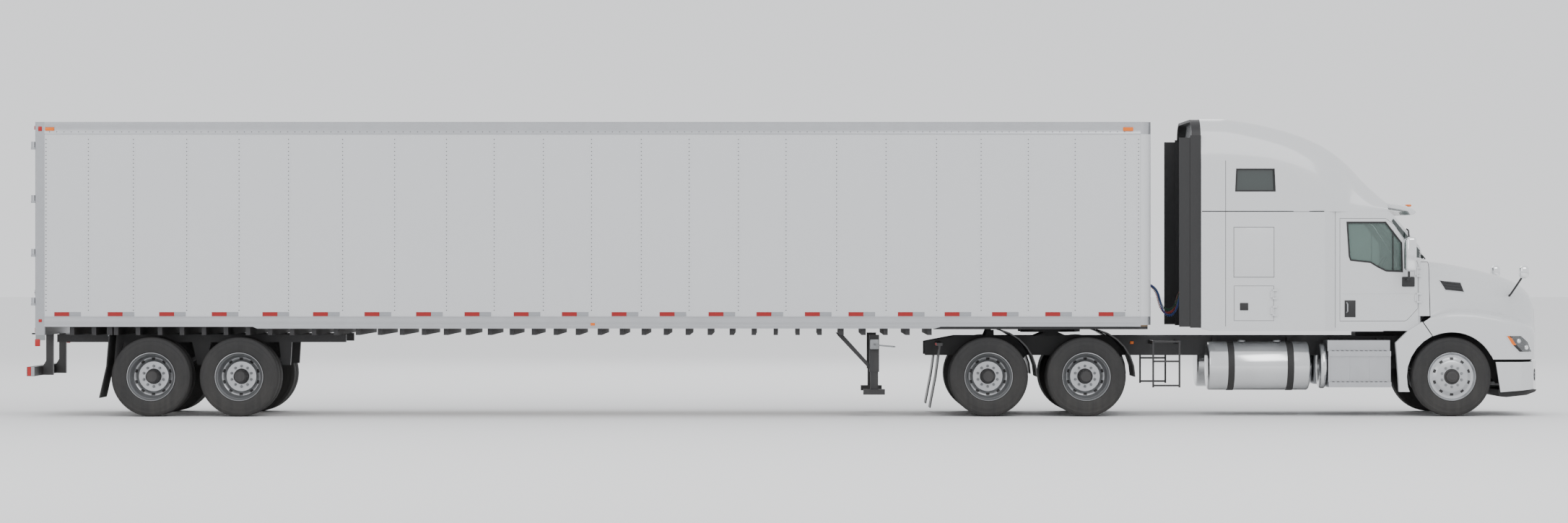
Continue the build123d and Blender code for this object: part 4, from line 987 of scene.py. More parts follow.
    def twins(self, place: str, x: float, track: float) -> None:
        """Model one axle's pairs of twin wheels."""
        centre, inner = (x, -track, AXLE_HEIGHT), (x, -track + self.twin_spacing, AXLE_HEIGHT)
        tyre = joined(f"tyre_{place}_right", [self.tyre("outer", centre), self.tyre("inner", inner)])
        rim = turned(f"rim_{place}_right", [
            (-0.160, 0.108), (-0.160, 0.206), (-0.1555, 0.212), (-0.142, 0.2295), (-0.138, 0.2325),
            (-0.124, 0.2655), (-0.120, 0.268), (-0.098, 0.296), (-0.085, 0.302), (0.085, 0.302), (0.105, 0.318),
            (0.119, 0.3225), (0.1275, 0.330), (0.1265, 0.334), (0.118, 0.3335), (0.09, 0.320), (-0.105, 0.320),
            (-0.118, 0.31), (-0.170, 0.215), (-0.174, 0.206), (-0.174, 0.108), (-0.160, 0.108)],
            centre, self.side, self.steps)
        self.holes(rim, centre)
        back = turned(f"back_{place}_right", [
            (0.1455, 0.108), (0.1455, 0.206), (0.104, 0.305), (0.095, 0.32), (-0.118, 0.32), (-0.127, 0.334),
            (-0.119, 0.3225), (-0.1, 0.305), (0.08, 0.302), (0.132, 0.2), (0.132, 0.108), (0.1455, 0.108)],
            inner, self.side, 40)
        reach = 0.045 if place.startswith("drive") else 0.048
        hub = turned(f"hub_{place}_right", [
            (-0.170, 0.1075), (-0.150, 0.1075), (-0.145, 0.100), (reach - 0.06, 0.094), (reach - 0.05, 0.088),
            (reach - 0.012, 0.082), (reach, 0.070), (reach, 0.0)], centre, self.side, self.hub_steps)
        nuts = self.nuts(f"nuts_{place}_right", centre, -0.160)
        self.mount(place, (tyre, "tyre_rubber"), (rim, ""), (back, "grey_steel"), (hub, "cast_black"),
                   (nuts, "grey_steel"))

    def build(self) -> None:
        """Build all wheels."""
        self.front()
        for place, (x, track) in self.positions.items():
            self.twins(place, x, track)


# Trailer


@dataclass
class Trailer:
    """Rivets, rails, tape, lamps and rear fittings of the trailer."""

    skin: float = 1.289
    rail: float = 1.295
    photo_middle: float = 1088.05
    metres_a_pixel: float = 0.01
    seams: tuple[float, ...] = (
        63.2, 121.8, 184.3, 258.2, 330.7, 399.3, 474.3, 546.4, 618.2, 684.3, 752.5, 819.3, 888.2, 954.6, 1022.9,
        1088.9, 1158.9, 1227.5, 1297.5, 1359.3, 1424.6, 1489.6, 1558.9, 1577.5,
    )
    red_starts: tuple[float, ...] = (
        74.6, 148.6, 220.0, 292.9, 363.2, 433.2, 504.6, 576.1, 643.2, 711.4, 778.2, 847.1, 913.6, 981.4, 1047.9,
        1115.0, 1175.4, 1243.9, 1308.6, 1374.3, 1448.2, 1522.1,
    )
    rear: float = along(-14.138)
    nose: float = along(1.334)

    def at(self, pixel: float) -> float:
        """Return the x of a place in the photograph's own pixels."""
        return (pixel - self.photo_middle) * self.metres_a_pixel

    @staticmethod
    def rivet(place: Point) -> Piece:
        """Model one domed rivet on the right-hand side."""
        put_down()
        bpy.ops.mesh.primitive_cone_add(
            vertices=7, radius1=0.0085, radius2=0.004, depth=0.004, location=place,
            rotation=(math.radians(90), 0.0, 0.0),
        )
        return settle(bpy.context.object)

    def rivets(self) -> None:
        """Rivet the side sheets along every seam and under the top rail."""
        columns, battens = [], []
        for pixel in self.seams:
            x = min(self.at(pixel), self.nose - 0.17)
            columns.append(row(self.rivet((x, -self.skin - 0.0035, 1.475)), 44, (0.0, 0.0, 0.055)))
            low, high = (x - 0.026, -self.skin - 0.0018, 1.391), (x + 0.026, -self.skin, 3.911)
            battens.append(block("batten", low, high, 0.0))
        columns.append(row(self.rivet((self.rear + 0.2, -self.rail - 0.0015, 3.945)), 150, (0.1, 0.0, 0.0)))
        fit(both_sides(joined("trailer_rivets", columns)), "rivet_steel", "trailer")
        fit(both_sides(joined("seam_battens", battens)), "trailer_white_sheet", "trailer")

    def rails(self) -> None:
        """Draw the stepped bottom rail and the lip of the top rail."""
        start, end = self.rear + 0.128, self.nose - 0.15
        steps = [(1.295, 1.388), (1.300, 1.386), (1.300, 1.373), (1.2965, 1.369), (1.2965, 1.316),
                 (1.300, 1.311), (1.300, 1.300), (1.2965, 1.296), (1.2965, 1.276), (1.300, 1.272),
                 (1.300, 1.248), (1.295, 1.246)]
        lip = [(1.295, 4.083), (1.2985, 4.080), (1.2985, 4.026), (1.2955, 4.020), (1.2955, 3.935),
               (1.2985, 3.928), (1.2985, 3.914), (1.295, 3.912)]
        run = (end - start, 0.0, 0.0)
        both = [plate("rail", [(start, -y, z) for y, z in line], run, 0.0) for line in (steps, lip)]
        fit(both_sides(joined("trailer_rails", both)), "rail_aluminium", "trailer")

    def tape(self) -> None:
        """Lay the red and white reflective strips along the sides and the guard."""
        red, white = [], []
        for x in map(self.at, self.red_starts):
            for strips, start, length in ((red, x, 0.207), (white, x + 0.209, 0.16)):
                low, high = (start, -self.skin - 0.0045, 1.392), (start + length, -self.skin - 0.001, 1.449)
                strips.append(block("strip", low, high, 0.001, 1))
        for k in range(6):
            y = -1.2 + k * 0.41
            for strips, start, length in ((red, y, 0.2), (white, y + 0.205, 0.2)):
                low, high = (along(-14.2624), start, 0.60), (along(-14.2600), start + length, 0.65)
                strips.append(block("guard_strip", low, high, 0.0, 1))
        sides = joined("tape_red", red), joined("tape_white", white)
        for strips, finish in zip(sides, ("red_tape", "white_tape")):
            fit(both_sides(strips), finish, "trailer")

    def side_lamp(self, ends: Spot, heights: Spot, proud: float = 0.018, edge: float = 0.006) -> Piece:
        """Model a lamp on the right-hand rail, between two pixels of the photograph."""
        y = -self.rail
        low, high = (self.at(ends[0]), y - proud, heights[0]), (self.at(ends[1]), y + 0.002, heights[1])
        return block("side_lamp", low, high, edge, 3)

    def rear_lamp(self, ends: Spot, heights: Spot, proud: float, edge: float) -> Piece:
        """Model a lamp on the rear frame, between two values of y."""
        low, high = (self.rear - proud, ends[0], heights[0]), (self.rear + 0.002, ends[1], heights[1])
        return block("rear_lamp", low, high, edge, 3)

    def lamps(self) -> None:
        """Fit the side markers, the header lamps and the tail lamps."""
        amber = [
            self.side_lamp((1556, 1570), (3.957, 4.008)),
            self.side_lamp((62, 74.6), (3.962, 4.008)),
            self.side_lamp((818, 824), (1.262, 1.298), 0.016),
        ]
        fit(both_sides(joined("amber_markers", amber)), "amber_lens", "trailer")
        guard = -1.2535, -1.249
        red = [
            self.side_lamp((52.5, 57.5), (3.957, 4.02), 0.016),
            self.rear_lamp((-1.27, -1.15), (3.975, 4.03), 0.018, 0.006),
            self.rear_lamp((-0.16, -0.04), (3.99, 4.04), 0.018, 0.006),
            self.rear_lamp((-1.24, -1.08), (1.165, 1.235), 0.016, 0.01),
            self.rear_lamp((-1.02, -0.86), (1.165, 1.235), 0.016, 0.01),
            self.side_lamp((53, 57.5), (1.31, 1.35), 0.016, 0.005),
            block("box_lamp", (self.at(47.7), -1.294, 0.975), (self.at(54.7), -1.255, 1.075), 0.008, 3),
            block("guard_end", (self.at(36.5), guard[0], 0.565), (self.at(41.5), guard[1], 0.69), 0.002, 1),
        ]
        corner = block("corner_plates", (self.at(48.6), -1.29, 1.06), (self.at(62), -1.278, 1.245), 0.004)
        fit(both_sides(corner), "grey_steel", "trailer")
        ends = block("guard_ends", (self.at(41.7), guard[0], 0.565), (self.at(46.5), guard[1], 0.69), 0.002, 1)
        fit(both_sides(ends), "white_tape", "trailer")
        fit(both_sides(joined("red_lamps", red)), "red_lens", "trailer")

    def doors(self) -> None:
        """Add seals, lock handles and latch plates to the rear doors."""
        rear = self.rear
        for side in Side:
            s, body = side.value, f"rear_door_{side.word}"
            ring = [(rear, s * y, z) for y, z in ((0.006, 1.31), (1.208, 1.31), (1.208, 3.95), (0.006, 3.95))]
            seal = plate(f"door_seal_{side.word}", ring, (-0.006, 0.0, 0.0), 0.001, rim=0.02)
            fit(seal, "black_rubber", body)
            fittings = []
            for y in (0.33, 0.86):
                root, tip = s * y, s * (y + 0.24)
                for z in (1.335, 3.905):
                    low, high = (rear - 0.006 - 0.029, root - 0.04, z - 0.02), (rear, root + 0.04, z + 0.02)
                    fittings.append(block("keeper", low, high, 0.004))
                lever = [(rear - 0.029, s * (y - 0.02), 1.72), (rear - 0.029, s * (y + 0.30), 1.72)]
                fittings.append(bar("lever", *lever, 0.008))
                for low, high in (((rear - 0.037, root - 0.03, 1.69), (rear - 0.012, root + 0.03, 1.75)),
                                  ((rear - 0.036, tip - 0.02, 1.68), (rear, tip + 0.02, 1.76))):
                    fittings.append(block("catch", low, high, 0.004))
            fit(joined(f"door_fittings_{side.word}", fittings), "grey_steel", body)

    def underside(self) -> None:
        """Add the dock bumpers, the gear crank and the flaps' ribs."""
        rubber = [block("dock_bumper", (self.rear - 0.05, -1.28, 1.14), (self.rear, -1.20, 1.16), 0.004),
                  block("dock_bumper", (self.rear - 0.055, -0.70, 1.15), (self.rear, -0.46, 1.23), 0.01)]
        fit(both_sides(joined("dock_bumpers", rubber)), "black_rubber", "trailer")
        x, y = along(-2.503), -1.16
        line = [(x, y + 0.1, 1.0), (x, y - 0.03, 1.0), (x + 0.02, y - 0.05, 0.99), (x + 0.26, y - 0.05, 0.97),
                (x + 0.28, y - 0.07, 0.97), (x + 0.28, y - 0.11, 0.97)]
        gearbox = (x - 0.06, y + 0.03, 0.93), (x + 0.06, y + 0.10, 1.07)
        crank = [pipe("gear_crank", line, 0.011), block("gearbox", *gearbox, 0.01)]
        fit(joined("gear_crank", crank), "grey_steel", "trailer")
        rib = bar("flap_ribs", (along(-13.118), -0.70, 1.122), (along(-13.118), -1.28, 1.122), 0.012)
        fit(both_sides(rib), "grey_steel", "trailer")

    def nose_fittings(self) -> None:
        """Fit the couplings on the nose where the air lines and the cable start."""
        profile = [(-0.02, 0.0), (-0.02, 0.034), (0.004, 0.038), (0.012, 0.032), (0.018, 0.012), (0.02, 0.0)]
        for name, y, finish in (("coupling_red", 0.16, "red_hose"), ("coupling_blue", -0.16, "blue_hose"),
                                ("cable_socket", 0.0, "grey_steel")):
            fit(fitting(name, profile, (self.nose + 0.024, y, 1.83), -90, steps=20), finish, "trailer")
        board = block("coupling_board", (self.nose, -0.26, 1.74), (self.nose + 0.006, 0.26, 1.92), 0.002)
        fit(board, "rail_aluminium", "trailer")

    def build(self) -> None:
        """Build all of the trailer's pieces."""
        self.rivets()
        self.rails()
        self.tape()
        self.lamps()
        self.doors()
        self.underside()
        self.nose_fittings()


# Hoses


@dataclass
class Hoses:
    """The coiled air lines and the cable between trailer and sleeper."""

    coil_radius: float = 0.0145
    hose_radius: float = 0.005
    turn_length: float = 0.024
    points_in_turn: int = 12
    straight_end: float = 0.05
    route: tuple[tuple[float, float, float], ...] = (
        (0.0003, 1.83, 0.0), (0.17, 1.83, 0.0), (0.255, 1.42, 0.3), (0.44, 1.42, 0.7), (0.525, 1.8, 1.0),
        (0.6957, 1.8, 1.0),
    )
    lines: tuple[tuple[str, float, float, float, str], ...] = (
        ("air_line_red", 0.16, 0.12, 0.0, "red_hose"),
        ("air_line_blue", -0.16, -0.12, 0.04, "blue_hose"),
        ("power_cable", 0.0, 0.0, -0.06, "green_cable"),
    )

    def centre_line(self, start: float, end: float, dip: float) -> list[Vector]:
        """Return points of the smooth line that a coil winds about."""
        data = bpy.data.curves.new("route", "CURVE")
        data.dimensions = "3D"
        data.resolution_u = 24
        spline = data.splines.new("NURBS")
        spline.points.add(len(self.route) - 1)
        for point, (x, z, share) in zip(spline.points, self.route):
            y = start + (end - start) * share
            point.co = (along(1.334) + x, y, z - dip * math.sin(math.pi * share), 1.0)
        spline.order_u = 3
        spline.use_endpoint_u = True
        holder = bpy.data.objects.new("route", data)
        mesh = bpy.data.meshes.new_from_object(holder)
        points = [vertex.co.copy() for vertex in mesh.vertices]
        bpy.data.objects.remove(holder)
        return points

    def coil(self, points: list[Vector]) -> list[Point]:
        """Return the points of a helix wound about a line, drawn in to the line at both ends."""
        lengths = [0.0]
        for a, b in zip(points, points[1:]):
            lengths.append(lengths[-1] + (b - a).length)
        total = lengths[-1]
        count = int(total / self.turn_length) * self.points_in_turn
        wound, k = [], 0
        across = Vector((0.0, 1.0, 0.0))
        for i in range(count + 1):
            s = total * i / count
            while k < len(lengths) - 2 and lengths[k + 1] < s:
                k += 1
            t = (s - lengths[k]) / (lengths[k + 1] - lengths[k])
            place = points[k].lerp(points[k + 1], t)
            tangent = (points[k + 1] - points[k]).normalized()
            across = (across - tangent * across.dot(tangent)).normalized()
            other = tangent.cross(across)
            swell = self.coil_radius * min(1.0, s / self.straight_end, (total - s) / self.straight_end)
            angle = 2 * math.pi * i / self.points_in_turn
            wound.append(tuple(place + (across * math.cos(angle) + other * math.sin(angle)) * swell))
        return wound

    def build(self) -> None:
        """Wind each line along its route from the trailer's nose to the sleeper, and hide the frame's own line."""
        for node, start, end, dip, finish in self.lines:
            points = self.coil(self.centre_line(start, end, dip))
            hose = pipe(f"coil_{node}", points, self.hose_radius, smooth=True, steps=2)
            PAINT.coat(hose, finish)
            take(hose)
            bpy.ops.object.shade_smooth()
            put_down()
            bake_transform(hose)
            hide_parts(node)


# Cab, roof, hood and the rest of the tractor


@dataclass
class Cab:
    """Seals, handles, mirrors, lamps and the inside of the cab and sleeper."""

    door_window: tuple[Spot, ...] = (
        (4.056, 2.704), (4.609, 2.704), (4.837, 2.410), (4.848, 2.000), (4.609, 2.010), (4.500, 2.064),
        (4.390, 2.130), (4.110, 2.160), (4.088, 2.220),
    )
    floor: float = 1.232

    @staticmethod
    def lean(piece: Piece, side: int) -> Piece:
        """Swing a piece drawn on the centre plane out on to the door's slanting skin."""
        slope = -0.055 / 1.157
        shear = Matrix.Identity(4)
        shear[1][0] = side * slope
        shear[1][3] = side * (1.140 - slope * along(3.903))
        piece.data.transform(shear)
        return face_out(piece)

    def doors(self) -> None:
        """Fit the window seals, handles, cladding and mirrors to both cab doors."""
        for side in Side:
            s, word, body = side.value, side.word, f"cab_door_{side.word}"
            seal = plate(f"window_seal_{word}", seen(self.door_window), (0.0, s * 0.006, 0.0), 0.002, rim=0.022)
            fit(self.lean(seal, s), "black_rubber", body)
            low, high = (along(4.70), 0.0, 2.02), (along(4.715), s * 0.005, 2.58)
            fit(self.lean(block(f"quarter_post_{word}", low, high, 0.001), s), "black_rubber", body)
            low, high = (along(4.03), 0.0, 1.376), (along(4.185), s * 0.007, 1.61)
            pocket = block(f"handle_plate_{word}", low, high, 0.006)
            line = [(along(x), s * out, z) for x, out, z in
                    ((4.06, 0.004, 1.44), (4.07, 0.03, 1.46), (4.07, 0.03, 1.56), (4.06, 0.004, 1.58))]
            grip = pipe(f"door_handle_{word}", line, 0.009)
            fit(self.lean(pocket, s), "black_moulding", body)
            fit(self.lean(grip, s), "rail_aluminium", body)
            latch = block(f"locker_latch_{word}", (6.306, s * 1.219, 1.472), (6.422, s * 1.228, 1.576), 0.006, 3)
            fit(latch, "black_moulding", f"locker_door_{word}")
            crease = seen(((4.0, 1.70), (5.03, 1.70), (5.03, 1.712), (4.0, 1.712)))
            rib = plate(f"door_crease_{word}", crease, (0.0, s * 0.003, 0.0), 0.001)
            fit(self.lean(rib, s), "gloss_white_paint", body)
            self.mirror(side, body)

    def mirror(self, side: Side, body: str) -> None:
        """Build a chrome mirror head on its black arms."""
        s, word = side.value, side.word
        low, high = (along(4.846), s * 1.235, 2.012), (along(4.988), s * 1.475, 2.491)
        fit(block(f"mirror_head_{word}", low, high, 0.045, 5), "bright_chrome", body, (f"door_mirror_{word}",))
        low, high = (along(4.841), s * 1.262, 2.05), (along(4.848), s * 1.448, 2.45)
        fit(block(f"mirror_glass_{word}", low, high, 0.012, 3), "bright_chrome", body)
        arm = (4.90, 1.09, 1.90), (4.905, 1.24, 1.90), (4.905, 1.27, 1.92), (4.905, 1.275, 2.05)
        stay = (4.90, 1.092, 2.60), (4.905, 1.22, 2.58), (4.905, 1.27, 2.5), (4.905, 1.275, 2.45)
        arms = [pipe("arm", [(along(x), s * y, z) for x, y, z in line], radius)
                for line, radius in ((arm, 0.016), (stay, 0.012))]
        arms.append(block("foot", (along(4.833), s * 1.085, 1.80), (along(5.01), s * 1.115, 1.937), 0.012, 3))
        fit(joined(f"mirror_arms_{word}", arms), "black_moulding", body)

    def shell(self) -> None:
        """Fit the sleeper's seals and panels, the seams and the windshield's wrap."""
        ring = plate("sleeper_window_seal", seen(SLEEPER_WINDOW, 1.219), (0.0, 0.006, 0.0), 0.002, rim=0.02)
        fit(both_sides(ring), "black_rubber", "tractor")
        tint = plate("sleeper_tint", seen(SLEEPER_WINDOW, 1.187), (0.0, 0.002, 0.0), 0.0)
        fit(both_sides(tint), "dark_glass", "tractor")
        outline = seen(((2.486, 1.935), (2.486, 2.622), (3.038, 2.622), (3.038, 1.935)), 1.2195)
        panel = plate("sleeper_panel", outline, (0.0, 0.004, 0.0), 0.0015)
        fit(both_sides(panel), "gloss_white_paint", "tractor")
        outline = seen(((2.480, 1.929), (2.480, 2.628), (3.044, 2.628), (3.044, 1.929)), 1.219)
        gasket = plate("panel_gasket", outline, (0.0, 0.003, 0.0), 0.001, rim=0.006)
        fit(both_sides(gasket), "black_rubber", "tractor")
        seams = [
            block("seam", (along(3.895), 1.1395, 1.23), (along(3.903), 1.1425, 2.84), 0.001, 1),
            block("seam", (along(2.366), 1.219, 1.25), (along(2.372), 1.2215, 3.55), 0.001, 1),
            block("seam", (along(2.04), 1.219, 2.840), (along(3.74), 1.2225, 2.852), 0.001, 1),
        ]
        fit(both_sides(joined("cab_seams", seams)), "black_rubber", "tractor")
        upper = [(along(x), z) for x, z in ((4.712, 2.744), (4.95, 2.462), (5.178, 2.196))]
        lower = [(along(x), z) for x, z in ((4.688, 2.712), (4.872, 2.46), (5.04, 2.206))]
        for side in Side:
            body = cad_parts["cab_body"]
            wrap = patch(f"windshield_wrap_{side.word}", body, upper, lower, side.value, 0.003)
            fit(wrap, "dark_glass", "tractor")

    def wipers(self) -> None:
        """Lay two wipers on the windshield."""
        low, high = Vector((along(5.215), 0.0, 2.196)), Vector((along(4.745), 0.0, 2.768))
        slope = (high - low).normalized()
        wipers = []
        for y in (-0.62, 0.18):
            root = low + Vector((0.012, y, -0.01))
            tip = low + slope * 0.36 + Vector((0.016, y + 0.42, 0.012))
            middle = root.lerp(tip, 0.5) + Vector((0.012, 0.0, 0.01))
            wipers.append(pipe("wiper", [tuple(root), tuple(middle), tuple(tip)], 0.008))
            along_blade = Vector((0.0, 0.20, 0.0)) + slope * 0.22
            wipers.append(pipe("blade", [tuple(tip - along_blade), tuple(tip + along_blade * 0.5)], 0.007))
        fit(joined("wipers", wipers), "black_rubber", "tractor")

    def cowl(self) -> None:
        """Close the corners between the doors and the hood."""
        rings = []
        for z, front in ((1.392, 1.088), (1.45, 1.076), (1.70, 1.026), (1.95, 0.976), (2.06, 0.952),
                         (2.115, 0.905), (2.135, 0.84)):
            back = 1.084 - max(0.0, z - 2.0) * 0.35
            ring = [(along(5.070 + 0.150 * k / 6), back + (front - back) * (k / 6) ** 1.3, z) for k in range(7)]
            rings.append(ring)
        panel = use_modifier(skin_of("cowl_corners", rings), "SOLIDIFY", thickness=0.012, offset=0.0)
        fit(both_sides(panel), "gloss_white_paint", "tractor")

    def roof_lamps(self) -> None:
        """Fit the amber lamps along the visor."""
        lamps = []
        for y in (-0.86, -0.22, 0.0, 0.22, 0.86):
            low, high = (along(4.91), y - 0.07, 2.915), (along(4.99), y + 0.07, 2.945)
            lamps.append(block("roof_lamp", low, high, 0.012, 3))
        fit(joined("roof_lamps", lamps), "amber_lens", "tractor")

    def dash(self) -> None:
        """Build the dash with its console and gauges, and the steering wheel."""
        outline = (5.045, 1.705), (5.045, 2.075), (4.955, 2.055), (4.87, 1.90), (4.965, 1.705)
        shelf = plate("dash", seen(outline, -0.94), (0.0, 1.88, 0.0), 0.03)
        outline = (4.69, self.floor), (4.88, self.floor), (5.13, 1.40), (5.16, 1.45), (5.16, 1.71), (4.69, 1.71)
        console = plate("console", seen(outline, -0.115), (0.0, 0.23, 0.0), 0.02)
        bezel = block("gauges", (along(4.865), 0.30, 1.93), (along(4.93), 0.72, 2.035), 0.02, 3)
        fit(joined("dash", [shelf, console, bezel]), "cab_plastic", "tractor", ("cab_interior",))
        x, y, z = hub = (along(4.72), 0.515, 2.02)
        put_down()
        bpy.ops.mesh.primitive_torus_add(
            major_radius=0.225, minor_radius=0.016, major_segments=40, minor_segments=10,
            location=hub, rotation=(0.0, math.radians(-62), 0.0),
        )
        wheel = settle(bpy.context.object)
        spokes = [pipe("spoke", [hub, (x + 0.21 * dx, y + 0.21 * dy, z + 0.21 * dz)], 0.013)
                  for dx, dy, dz in ((0.0, 1.0, 0.0), (0.0, -1.0, 0.0), (-0.47, 0.0, -0.88))]
        column = bar("column", hub, (along(4.98), 0.515, 1.88), 0.035)
        fit(joined("steering_wheel", [wheel, *spokes, column]), "cab_plastic", "tractor")

    def seats(self) -> None:
        """Pad both seats and the bunk."""
        floor, back = self.floor, along(4.05)
        for side in Side:
            start, end = sorted((side.value * 0.26, side.value * 0.77))
            middle = (start + end) / 2
            outline = (0.02, 0.40), (-0.055, 0.90), (0.06, 0.91), (0.135, 0.42)
            parts = [
                block("cushion", (back + 0.05, start, floor + 0.33), (back + 0.52, end, floor + 0.48), 0.05, 4),
                plate("back", [(back + x, start, floor + z) for x, z in outline], (0.0, end - start, 0.0), 0.035),
                block("headrest", (back - 0.055, middle - 0.14, floor + 0.88),
                      (back + 0.055, middle + 0.14, floor + 1.015), 0.03, 4),
                block("base", (back + 0.03, start + 0.06, floor), (back + 0.40, end - 0.06, floor + 0.34),
                      0.03, 3),
            ]
            seat = fit(joined(f"seat_{side.word}", parts), "seat_cloth", "tractor")
        bunk = block("bunk_mattress", (along(2.08), -1.165, 1.83), (along(3.045), 1.165, 1.978), 0.04, 4)
        fit(bunk, "seat_cloth", "tractor")

    def build(self) -> None:
        """Build all of the cab's pieces."""
        self.doors()
        self.shell()
        self.wipers()
        self.cowl()
        self.roof_lamps()
        self.dash()
        self.seats()


@dataclass
class Roof:
    """The smooth roof cap, its visor and the black band behind it."""

    seam: float = 2.845
    ease: float = 0.11
    sections: tuple[tuple[float, ...], ...] = (
        (2.030, 1.220, 3.596, 0.950, 4.137), (2.410, 1.220, 3.596, 0.940, 4.131),
        (3.100, 1.220, 3.510, 0.900, 4.006), (3.676, 1.215, 3.275, 0.850, 3.806),
        (4.060, 1.135, 2.960, 0.780, 3.557), (4.380, 1.115, 2.900, 0.750, 3.232),
        (4.640, 1.095, 2.870, 1.000, 2.960),
    )

    def half(self, section: tuple[float, ...], draw_in: float = 0.0) -> Line:
        """Return the left half of one cross-section, from the seam to the top."""
        _, width, crease, top_width, top = section
        top = min(top, self.sections[0][4] - 0.001)
        low, high = (width - draw_in, crease - draw_in), (top_width - draw_in, top - draw_in)
        return [(width - draw_in, self.seam), low, shoulder(low, high, 4.5, 0.75), high]

    def cap(self) -> None:
        """Skin the roof, cut its windows and add the visor."""
        sections = smooth_between(list(self.sections), 5)
        rings = [whole_arch(along(section[0]), self.half(section), self.ease) for section in sections]
        roof = skin_of("roof_skin", rings, capped=True)
        use_modifier(roof, "SOLIDIFY", thickness=0.02, offset=-1.0)
        cut(roof, plate("window_tool", seen(SLEEPER_WINDOW, -1.4), (0.0, 2.8, 0.0), 0.0))
        brow = rounded([(4.60, 2.962), (4.86, 2.945), (4.97, 2.895), (5.048, 2.842), (5.03, 2.815),
                        (4.957, 2.792), (4.93, 2.85), (4.64, 2.90)], 0.05, 3)
        visor = plate("visor", seen(brow, -1.02), (0.0, 2.04, 0.0), 0.012)
        fit(joined("roof_skin", [roof, visor]), "gloss_white_paint", "tractor", ("roof_cap",), 26.0)

    def band(self) -> None:
        """Run the black band round the roof's rear edge."""
        line = [p for p in whole_arch(0.0, self.half(self.sections[0], 0.006), self.ease) if p[2] > 3.86]
        rings = [[(along(x), y, z) for _, y, z in line] for x in (1.905, 2.028)]
        band = use_modifier(skin_of("roof_band", rings), "SOLIDIFY", thickness=0.035, offset=-1.0)
        fit(band, "black_moulding", "tractor")

    def build(self) -> None:
        """Build the roof's pieces."""
        self.cap()
        self.band()


